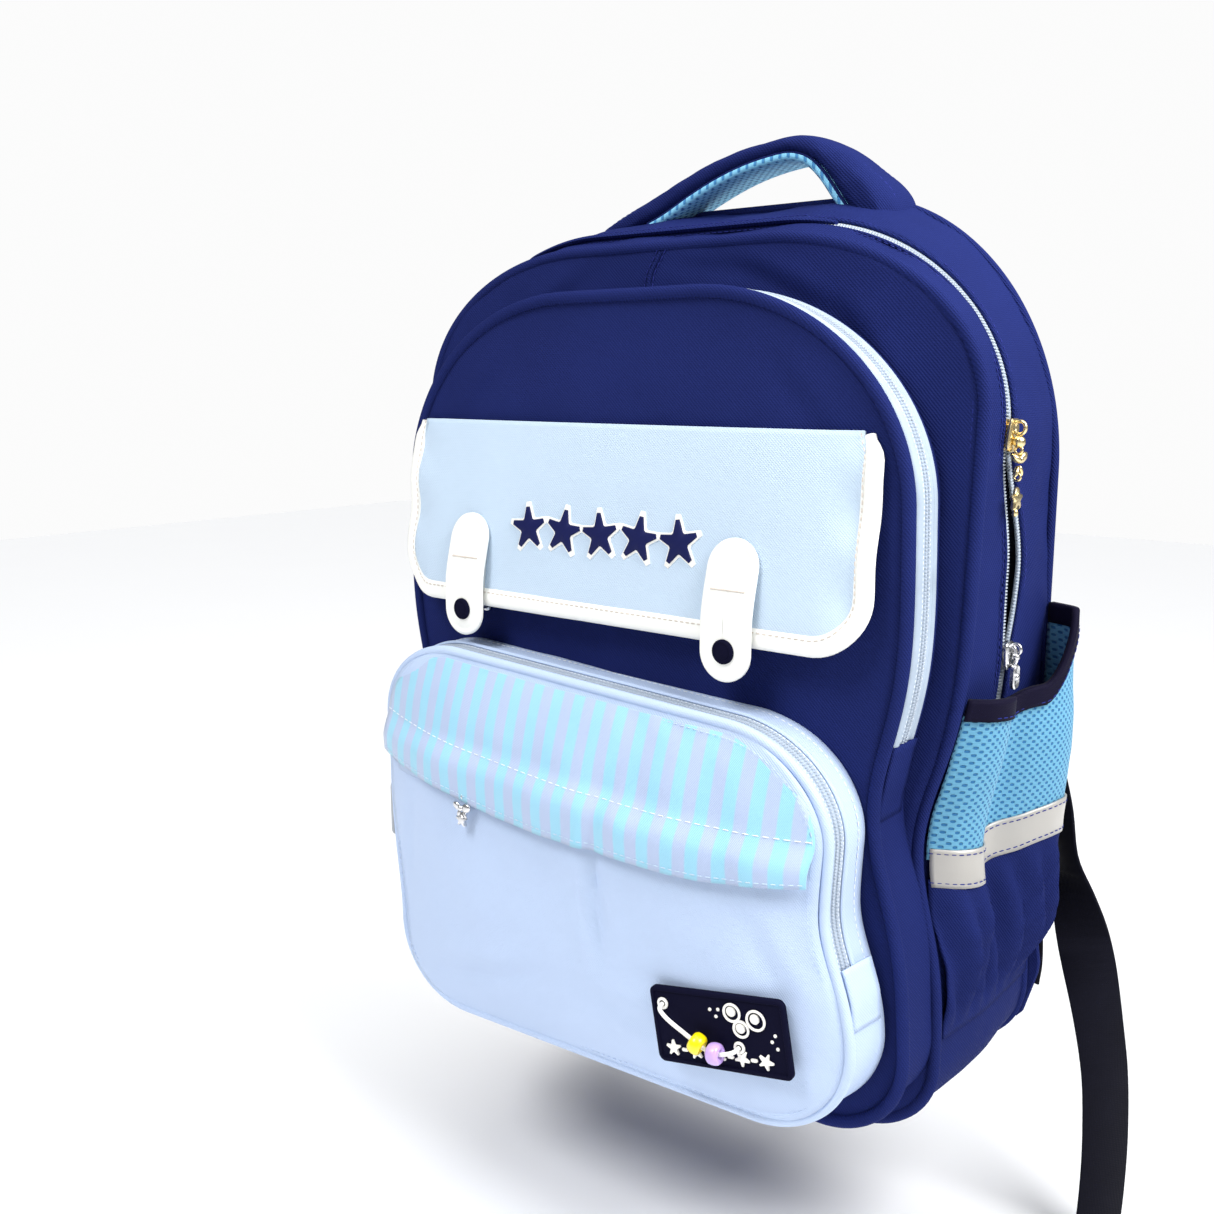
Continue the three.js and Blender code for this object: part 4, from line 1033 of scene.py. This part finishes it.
def side_point(t, stand, z, sign, lift):
    """A point of the side pocket's cloth: t of the way back, standing out from the bag's side by stand."""
    full = smooth((z - 44) / 52) * (1 - 0.22 * smooth((z - 150) / 60))
    y = t * back_y(z)
    return sign * side_x(y, z, 1 + stand * full + lift + 0.5 * ruffle((0, y, z), 24, 9)), y, z


def side_sheet(name, low, high, rows, mat, sign, lift=0.0, gathered=0.0, thick=1.4, **more):
    points = []
    for i in range(rows):
        row = []
        for t, stand in PLAN:
            z = lerp(low(t), high(t), i / (rows - 1))
            loose = smooth((z - 46) / 14) * smooth((strip_low(t) + 4 - z) / 20)
            wave = math.sin(t * 44 + z / 11) + 0.8 * ruffle((0, t * back_y(z), z * 0.6), 16, sign + 3)
            row.append(side_point(t, stand, z, sign, lift + gathered * loose * wave))
        points.append(row)
    grid(name, points, mat, thick=thick, **more)


SEAMS = (("low", lambda t: strip_low(t) + 2, 2.1), ("high", lambda t: strip_low(t) + 15, 2.1),
         ("top", lambda t: pocket_top(t) - 7.6, 2.3))
for side, sign in SIDES:
    side_sheet(f"side_pocket_mesh_{side}", lambda t: strip_low(t) + 12, lambda t: pocket_top(t) - 7, 22,
               "mesh_side", sign, hides=[f"side_pocket_{side}"])
    side_sheet(f"side_pocket_base_{side}", lambda t: 44.0, lambda t: strip_low(t) + 3, 26, "navy_twill", sign, 0.4,
               2.5)
    side_sheet(f"reflective_strip_{side}", strip_low, lambda t: strip_low(t) + 17, 8, "reflective_tape", sign, 1.5,
               thick=0.8)
    side_sheet(f"side_pocket_binding_{side}", lambda t: pocket_top(t) - 9, pocket_top, 6, "binding", sign, 0.6,
               thick=3.0)
    for label, height, lift in SEAMS:
        row = np.array([side_point(t, stand, height(t), sign, lift) for t, stand in PLAN])
        stitches(f"side_pocket_{label}_stitches_{side}", row, np.cross(tangents(row), (0, 0, -sign)), pitch=3.2)

# ------------------ top handle
# stations along the handle: x, z, thickness and width
BAR = spline([(-86, 394, 10, 27), (-76, 401.5, 11.5, 29), (-62, 407.5, 12, 29.5), (-44, 414, 12, 29),
              (-26.5, 422, 11.4, 28.5), (-10, 428.2, 10.5, 28), (5, 432.2, 9.6, 28), (20, 434.6, 8.8, 28),
              (33, 435.4, 8.8, 28.5), (44.5, 432.6, 10.5, 29), (55, 426, 14, 30), (66, 415.5, 18.5, 32),
              (76, 405, 22, 34), (81, 395, 20, 33)], 90)
HANDLE_BEND = ("bag", "handle", (0, 64, 404), (0, 64, 419))
middle = np.stack([BAR[:, 0], 64 + 0 * BAR[:, 0], BAR[:, 1]], axis=1)
along = tangents(middle)
above = -np.cross(along, Y)
above *= np.sign(above[:, 2:] + 1e-9)
across = np.cross(along, above)
rows = []
for p, b, a, (_, _, thick, wide) in zip(middle, above, across, BAR):
    row = []
    for t in turns(28):
        c, d = math.cos(t), math.sin(t)
        c, d = math.copysign(abs(c) ** 0.75, c), math.copysign(abs(d) ** 0.8, d)
        crease = (0.5 + 0.5 * smooth((abs(p[0]) - 50) / 25)) * ruffle((p[0] * 1.4, d * 30, c * 8), 15, 12)
        row.append(p + a * (wide / 2 * c + crease) + b * (thick / 2 * d + crease))
    rows.append(row)
grid("handle_cover", rows, "navy_twill", False, True, level=1, bend=HANDLE_BEND)


def on_handle(pick, up, out):
    """A line along the handle: up from its middle line and out across it."""
    return middle[pick] + above[pick] * up + across[pick] * out


under = slice(17, 80)  # the stations that the mesh lining covers
half = BAR[under, 2:3] / 2
ribbon("handle_lining", on_handle(under, -half - 0.9, 0), -above[under], strap_profile(25.5, 4.4), "mesh_flat",
       bend=HANDLE_BEND)
for name, k in (("front", -1), ("rear", 1)):
    ribbon(f"handle_{name}_welt", on_handle(under, 0.4 - half, k * 11.6), -above[under], round_profile(1.0, 8),
           "navy_twill", bend=HANDLE_BEND)
for name, x0, x1 in (("left", -79, -58), ("right", 62, 80)):
    pick = [i for i in range(len(BAR)) if x0 < BAR[i, 0] < x1]
    for k in (-1, 1):
        row = on_handle(pick, BAR[pick, 2:3] * 0.455 - 0.2, k * 9)
        end = "front" if k * across[0][1] < 0 else "rear"
        stitches(f"handle_{name}_stitches_{end}", row, above[pick], bend=HANDLE_BEND)

# ------------------ padded back
SWELL = (0.25, 1, 0.25)  # how much of the simulated movement each axis keeps


def puffed(piece, cap, pressure=4.0, voxel=0.005, frames=16):
    """Swells a closed pad with the cloth simulation and keeps every point within cap millimetres of its start."""
    bpy.context.view_layer.objects.active = piece
    for other in bpy.context.selected_objects:
        other.select_set(False)
    piece.select_set(True)
    remesh = piece.modifiers.new("even", "REMESH")
    remesh.mode, remesh.voxel_size = "VOXEL", voxel
    bpy.ops.object.modifier_apply(modifier="even")
    start = np.empty(len(piece.data.vertices) * 3)
    piece.data.vertices.foreach_get("co", start)
    cloth = piece.modifiers.new("cloth", "CLOTH")
    cloth.settings.use_pressure = True
    cloth.settings.uniform_pressure_force = pressure
    cloth.settings.quality = 4
    cloth.settings.effector_weights.gravity = 0
    for frame_number in range(1, frames + 1):
        bpy.context.scene.frame_set(frame_number)
    graph = bpy.context.evaluated_depsgraph_get()
    ended = piece.evaluated_get(graph).data
    moved = np.empty(len(ended.vertices) * 3)
    ended.vertices.foreach_get("co", moved)
    piece.modifiers.remove(cloth)
    bpy.context.scene.frame_set(1)
    start, moved = start.reshape(-1, 3), moved.reshape(-1, 3)
    step = (moved - start) * SWELL
    length = np.linalg.norm(step, axis=1, keepdims=True)
    reach = cap * MM * (1 - np.exp(-length / (cap * MM)))
    piece.data.vertices.foreach_set("co", (start + step * np.divide(reach, np.maximum(length, 1e-9))).ravel())
    piece.data.polygons.foreach_set("use_smooth", [True] * len(piece.data.polygons))
    piece.data.update()
    piece.modifiers.new("smooth", "SUBSURF").levels = 1
    piece.modifiers["smooth"].render_levels = 1


PAD_DEPTH = 7.0
PAD_LEVELS = [(1.5, 0.0), (0, 1.5), (0, PAD_DEPTH * 0.55), (2.5, PAD_DEPTH * 0.85), (8, PAD_DEPTH),
              (16, PAD_DEPTH)]


def pad(name, outline, hides):
    """A cushion on the back panel: an outline in (x, z) with rounded edges, swollen by pressure."""
    points, faces = plate_shape(resample(outline, 5, True), PAD_LEVELS, (0, 0, 0), (-1, 0, 0), Z)
    piece = make(name, [(x, y + back_y(z) + 3.0, z) for x, y, z in points], faces, "mesh_back", hides=hides)
    puffed(piece, 4)


for side, sign in SIDES:
    for name, middle_z, half_tall in (("upper", 298, 34), ("middle", 216, 40), ("lower", 120, 48)):
        outline = rounded(46, half_tall, 15, 7) + (sign * 59, middle_z)
        pad(f"back_pad_{name}_{side}", outline, ["back_padding"] if (side, name) == ("right", "upper") else ())
rows = []
for z, lift in ((343, 0.6), (343.6, 2.6), (345.5, 3.8), (350, 4.2), (358, 4.4), (366, 4.5), (374, 4.4), (381, 4.2),
                (385, 3.8), (386.6, 2.6), (387, 0.6)):
    bow = 1.5 * (z - 365) / 22
    rows.append([(x, back_y(z) + 2.0 + lift * (1 - (x / 76) ** 12), z + bow * (1 - (x / 74) ** 2))
                 for x in np.linspace(-75, 75, 41)])
grid("strap_yoke", rows, "navy_twill", thick=1.2)
for height in (348.5, 381.5):
    row = np.array([(x, back_y(height) + 7.1, height) for x in np.linspace(-66, 66, 40)])
    stitches(f"yoke_stitches_{height:.0f}", row, Y)

# ------------------ shoulder straps
# stations down the strap: x, distance behind the back panel, z and width
STRAP = [(44, 7.5, 374, 40), (46.5, 16, 369, 46), (50, 27, 357, 57), (60, 33, 330, 62), (76, 36, 290, 62),
         (96, 34, 250, 58), (114, 30, 218, 50), (124, 27, 198, 42)]
LOCK = (130.5, back_y(178) + 26, 178)
LOWER_RUN = [(145, back_y(34) + 9, 34), (146, back_y(52) + 9.5, 52), (142, LOCK[1] - 9, 100),
             (136, LOCK[1] - 3, 140), (132.5, LOCK[1] - 1, 163.5)]
# stations down the free tail: x, distance behind the ladder lock, z and turn in radians
TAIL = [(133, 4.6, 172, 0.1), (138, 6, 158, 0), (146, 6, 140, -0.2), (155, 4, 120, -0.5), (162, 1, 98, -0.7),
        (168, 0, 80, -0.3), (174, 0, 60, 0.2), (180, 0, 38, 0.65), (185, 0, 16, 0.85), (189, 0, -6, 0.9),
        (191, 0, -28, 0.9), (192, 0, -52, 0.9), (192, -1, -78, 0.9), (191, -2, -98, 0.9)]
WEB, WEB_THICK = 25.0, 1.6
WEBBING = strap_profile(WEB, WEB_THICK)
ANCHOR = ((120, 24), (150, 14), (159, 44), (157, 60), (134, 56))
ANCHOR_LEVELS = [(0.5, 0), (0, 0.6), (0, 2.4), (0.8, 3.2), (5, 3.4)]

for side, sign in SIDES:
    body = f"strap_{side}"
    route = spline(STRAP, 44)
    path = np.array([(sign * x, back_y(z) + off, z) for x, off, z, _ in route])
    t = tangents(path)
    out = unit(np.cross(np.cross(t, Y), t))
    wide = route[:, 3]
    strap = ribbon(f"shoulder_strap_{side}", path, out, strap_profile(50, 7.5, 0.5), "navy_twill",
                   widths=(wide - 5) / 50, body=body)
    puffed(strap, 3, 3.0, 0.0045, 12)
    across_strap = unit(np.cross(t, out))
    for label, k in (("inner", -1), ("outer", 1)):
        rim_line = path + across_strap * (k * (wide / 2 - 1.8))[:, None]
        bead = [(3.0 * a, 4.6 * b) for a, b in round_profile(1, 12)]
        ribbon(f"strap_binding_{label}_{side}", rim_line, out, bead, "binding", body=body)
        thread = path + across_strap * (k * (wide / 2 - 7))[:, None] + out * 5.2
        stitches(f"strap_stitches_{label}_{side}", thread, out, body=body)
    ribbon(f"strap_mesh_{side}", path - out * 5.4, out, strap_profile(40, 1.6), "mesh_back",
           widths=(wide - 12) / 40, body=body)
    end = path[-1] + (0, 0, 4)
    lock = np.array(LOCK) * (sign, 1, 1)
    loop = spline([end + out[-1] * 1.5, end + t[-1] * 8 + out[-1] * 1.2, lock + (0, 3.6, 9.5),
                   lock + (0, 4.4, 4)], 14)
    ribbon(f"strap_loop_{side}", loop, (0, 1, 0.1), WEBBING, "ink_webbing", body=body)
    run = spline(LOWER_RUN, 40) * (sign, 1, 1)
    t = tangents(run)
    facing = np.cross(np.cross(t, (sign * 0.1, 1, 0.05)), t)
    ribbon(f"lower_webbing_{side}", run, facing, WEBBING, "ink_webbing", body=body)
    corner = resample([(sign * x, z) for x, z in ANCHOR], 6, True)
    points, faces = plate_shape(corner, ANCHOR_LEVELS, (0, 0, 0), (-1, 0, 0), Z)
    make(f"strap_anchor_{side}", [(-x, y + back_y(z) + 2.6, z) for x, y, z in points], faces, "navy_twill")
    if side == "right":
        stations = [(x, LOCK[1] + y, z, turn) for x, y, z, turn in TAIL]
    else:
        stations = [(-lerp(133, 122, smooth(i / 13)), LOCK[1] + 5.5, z, turn * -0.2)
                    for i, (_, _, z, turn) in enumerate(TAIL)]
    route = spline(stations, 64)
    path = route[:, :3]
    normals = [(-math.sin(a), math.cos(a), 0) for a in route[:, 3]]
    tail = ribbon(f"strap_tail_{side}", path, normals, WEBBING, "ink_webbing", body=body)
    length = float(np.sum(np.linalg.norm(np.diff(path, axis=0), axis=1))) * MM

# ------------------ sliders and pulls
SLIDER = [(-3.4, -6.5), (3.4, -6.5), (4.6, -3), (5.4, 3.5), (4.6, 6.2), (1.6, 7), (-1.6, 7), (-4.6, 6.2),
          (-5.4, 3.5), (-4.6, -3)]
ARCH = spline([(-5, 2.0), (-4.2, 4.0), (-1.5, 5.2), (1.5, 5.2), (4.2, 4.0), (5, 2.0)], 24)


def slider(name, origin, wide, long, mat, body, scale=1.0, low=1.0):
    """A zip slider: two plates, a post between them and an arch for the pull; low flattens its front."""
    wide, long = unit(wide), unit(long)
    out = np.cross(wide, long)
    outline = resample(SLIDER, 1.6, True) * scale
    origin = np.asarray(origin, float)
    shapes = [plate_shape(part, levels, origin, wide, long) for part, levels in (
        (outline, [(0.5, -2.2), (0, -1.8), (0, -1.0), (0.4, -0.7)]),
        (outline, [(0.5, 0.7), (0, 1.0), (0, 1.7 * low), (0.7, 2.3 * low), (2.0, 2.5 * low)]),
        (rounded(1.0, 4.4 * scale, 0.8, 4), [(0, -0.9), (0, 0.9)]))]
    arch = [origin + long * a + out * b * low for a, b in ARCH * scale]
    shapes.append(ribbon_shape(arch, wide, round_profile(1.0 * scale, 10)))
    merged(name, shapes, mat, body=body)


def torus_shape(centre, radius, thick, axis):
    axis = unit(axis)
    a = unit(np.cross(axis, (0.2, 0.3, 1)))
    return ring_shape(centre, radius, thick, a, np.cross(axis, a), axis, 24)


def pull_place(name):
    """The middle of a pull's box in x and y, and its lowest and highest z."""
    low, high = node_box(name)
    return (low[0] + high[0]) / 2, (low[1] + high[1]) / 2, low[2], high[2]


def on_side(z, out):
    y = zip_y(z)
    return np.array((side_x(y, z, out), y, z))


slider("main_slider_upper", on_side(305, 0.2), Y, (-0.05, 0, -1), "gold", "upper_slider")
slider("main_slider_lower", on_side(211, 0.4), Y, (0.02, -0.06, 1), "steel", "lower_slider", 0.9)
slider("mid_slider", (-half_width(MID, 216) - 2.0, -17, 216), FRONT, (0.03, 0, 1), "steel", "mid_slider", 0.9)
slider("pocket_slider", settled((-half_width(POCKET, 112) - 3.6, -50.6, 112)), FRONT, Z, "steel", "pocket_slider",
       0.9)
slider("slit_slider", settled((-58, pocket_y(-58, 137) - 1.6, 134.2)), (0.04, 0, 1), (-1, 0, 0.04), "steel",
       "slit_slider", 0.8, 0.6)

# the gold pull: rings, a ball, a bow and a star drop
STAR_LEVELS = [(0.6, -1.0), (0, -0.5), (0, 0.5), (0.8, 1.2)]
x, y, low, high = pull_place("main_pull_upper")
shapes = [torus_shape((x, y, high - 2.6), 2.6, 0.8, (0.2, 1, 0)), lump_shape(2.6, (x, y, high - 8.2)),
          torus_shape((x, y, high - 11.6), 1.5, 0.6, Y)]
for k in (-1, 1):
    shapes.append(lump_shape(2.5, (x + 0.5, y + k * 3.2, high - 14.7), (0, 1, 0.35 * k), 1.35, 0.62))
    shapes.append(lump_shape(1.3, (x + 0.3, y + k * 2.1, high - 20), (0, 0.5 * k, -1), 1.9, 0.7))
shapes += [lump_shape(1.5, (x + 0.9, y, high - 15.2)), torus_shape((x, y, high - 22.4), 1.4, 0.55, Y),
           plate_shape(star(5.0, 0.55), STAR_LEVELS + [(4.0, 1.4)], (x, y, low + 7), Y, Z, True),
           lump_shape(1.3, (x, y, low + 1.5), Z, 1.3)]
merged("main_pull_upper", shapes, "gold", body="upper_pull")

# the lower pull: a ring, a ball and an oval drop
x, y, low, high = pull_place("main_pull_lower")
oval = resample(rounded(3.2, 5.6, 3.0, 8), 1.2, True)
levels = [(0.5, -1.0), (0, -0.6), (0, 0.6), (0.6, 1.1), (1.4, 0.6)]
shapes = [torus_shape((x, y, high - 2.2), 2.2, 0.75, (0.2, 1, 0)), lump_shape(1.8, (x, y, high - 5.6)),
          plate_shape(oval, levels, (x, y, low + 6.2), Y, Z),
          lump_shape(1.7, (x + 0.8, y, low + 6.2), X, 0.8)]
merged("main_pull_lower", shapes, "steel", body="lower_pull")

# the two grey tags on the bag's left
for name in ("mid_pull", "pocket_pull"):
    x, y, low, high = pull_place(name)
    tall = (high - low) / 2 - 2.2
    levels = [(0.6, -1.3), (0, -0.8), (0, 0.8), (0.6, 1.3), (1.2, 1.3), (1.6, 0.8), (2.6, 0.8)]
    parts = ((resample(rounded(4.4, tall, 4.2, 9), 1.3, True), levels),
             (rounded(1.2, tall * 0.55, 1.1, 6), [(0, 0.6), (0, 1.2), (0.4, 1.5)]))
    shapes = [plate_shape(outline, steps, (x, y, low + tall), FRONT, Z) for outline, steps in parts]
    merged(name, shapes, "grey_rubber", body=name)
    make(f"{name}_ring", *torus_shape((x, y, high - 2.6), 2.6, 0.75, (0.3, 1, 0)), "steel", body=name)

# the slit zip's pull: a ring and a chain that come out under the lip, a bow and a star drop
x, y, low, high = pull_place("slit_pull")
shapes = [torus_shape((x, y + 3.2, high - 3.5), 1.3, 0.5, (1, 0.2, 0))]
shapes += [torus_shape((x, y + 3.0 - 0.7 * k, high - 6.2 - 2.2 * k), 1.1, 0.45, (k % 2, 1 - k % 2, 0.1))
           for k in range(4)]
for k in (-1, 1):
    shapes.append(lump_shape(2.3, (x + k * 2.9, y - 0.2, low + 10.4), (1, 0, 0.4 * k), 1.3, 0.5))
    shapes.append(lump_shape(1.2, (x + k * 2.0, y - 0.2, low + 7.0), (0.5 * k, 0, -1), 1.8, 0.6))
shapes += [lump_shape(1.5, (x, y - 0.9, low + 10.2), Y, 0.8),
           plate_shape(star(3.8, 0.55), STAR_LEVELS + [(3.0, 1.4)], (x, y, low + 4.2), X, Z, True)]
merged("slit_pull", shapes, "steel", body="slit_pull")

# ------------------ lining seen through the open zip
opening = [(u, 1) for u in np.linspace(0.42, 0.72, 40)]
grid("main_lining", wall_points(opening, flank, spread(4, 64, 8), -7.5, None, 1.2, 20), "lining", thick=0.8)

# ------------------ carried-over CAD nodes
for side, _ in SIDES:
    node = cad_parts[f"ladder_lock_{side}"]
    node.data.materials.clear()
    node.data.materials.append(mats["black_plastic"])

# ------------------ floor and light
FLOOR_Z, FLOOR_HALF = -99.5, 3000
PAPER = (0.985, 0.99, 1.0)
n = Nodes("pale floor", PAPER, 0.9, Specular_IOR_Level=0.1)
pale = n.finish(n.mix(n.noise(6, 2), shade(PAPER, 0.99), PAPER))
mesh = bpy.data.meshes.new("floor")
corners = [(sx * FLOOR_HALF, sy * FLOOR_HALF, FLOOR_Z) for sx, sy in ((-1, -1), (1, -1), (1, 1), (-1, 1))]
mesh.from_pydata([tuple(p) for p in place(corners)], [], [(0, 1, 2, 3)])
mesh.materials.append(pale)
floor = bpy.data.objects.new("floor", mesh)
bpy.context.collection.objects.link(floor)


def light(name, kind, energy, direction, at=None, **settings):
    """A light that shines along a direction, in the bag's own frame."""
    data = bpy.data.lights.new(name, kind)
    data.energy = energy
    for key, value in settings.items():
        setattr(data, key, value)
    obj = bpy.data.objects.new(name, data)
    bpy.context.collection.objects.link(obj)
    if at:
        obj.location = place(at)
    obj.rotation_euler = Vector(direction).to_track_quat("-Z", "Y").to_euler()


def lamp(name, at, aim, size, power):
    light(name, "AREA", power, place(aim) - place(at), at, size=size)


bpy.context.scene.view_settings.view_transform = "Standard"
world = bpy.data.worlds.new("world")
bpy.context.scene.world = world
world.use_nodes = True
sky = world.node_tree
sky.nodes["Background"].inputs[0].default_value = (0.97, 0.985, 1, 1)
sky.nodes["Background"].inputs[1].default_value = 0.26
behind = sky.nodes.new("ShaderNodeBackground")  # the plain white room that the camera sees past the floor
behind.inputs[0].default_value = (1, 1, 1, 1)
behind.inputs[1].default_value = 0.97
seen = sky.nodes.new("ShaderNodeLightPath")
choose = sky.nodes.new("ShaderNodeMixShader")
sky.links.new(seen.outputs["Is Camera Ray"], choose.inputs[0])
sky.links.new(sky.nodes["Background"].outputs[0], choose.inputs[1])
sky.links.new(behind.outputs[0], choose.inputs[2])
sky.links.new(choose.outputs[0], sky.nodes["World Output"].inputs[0])
light("key", "SUN", 1.5, (0.20, 0.70, -1.0), angle=math.radians(22))
light("over", "SUN", 1.0, (-0.1, -0.1, -1), angle=math.radians(50))
lamp("front", (-250, -600, 850), (0, 0, 330), 0.5, 2.0)
lamp("side", (750, -100, 850), (150, 0, 370), 0.5, 10.0)
lamp("edge", (480, 120, 640), (110, 64, 380), 0.35, 1.6)
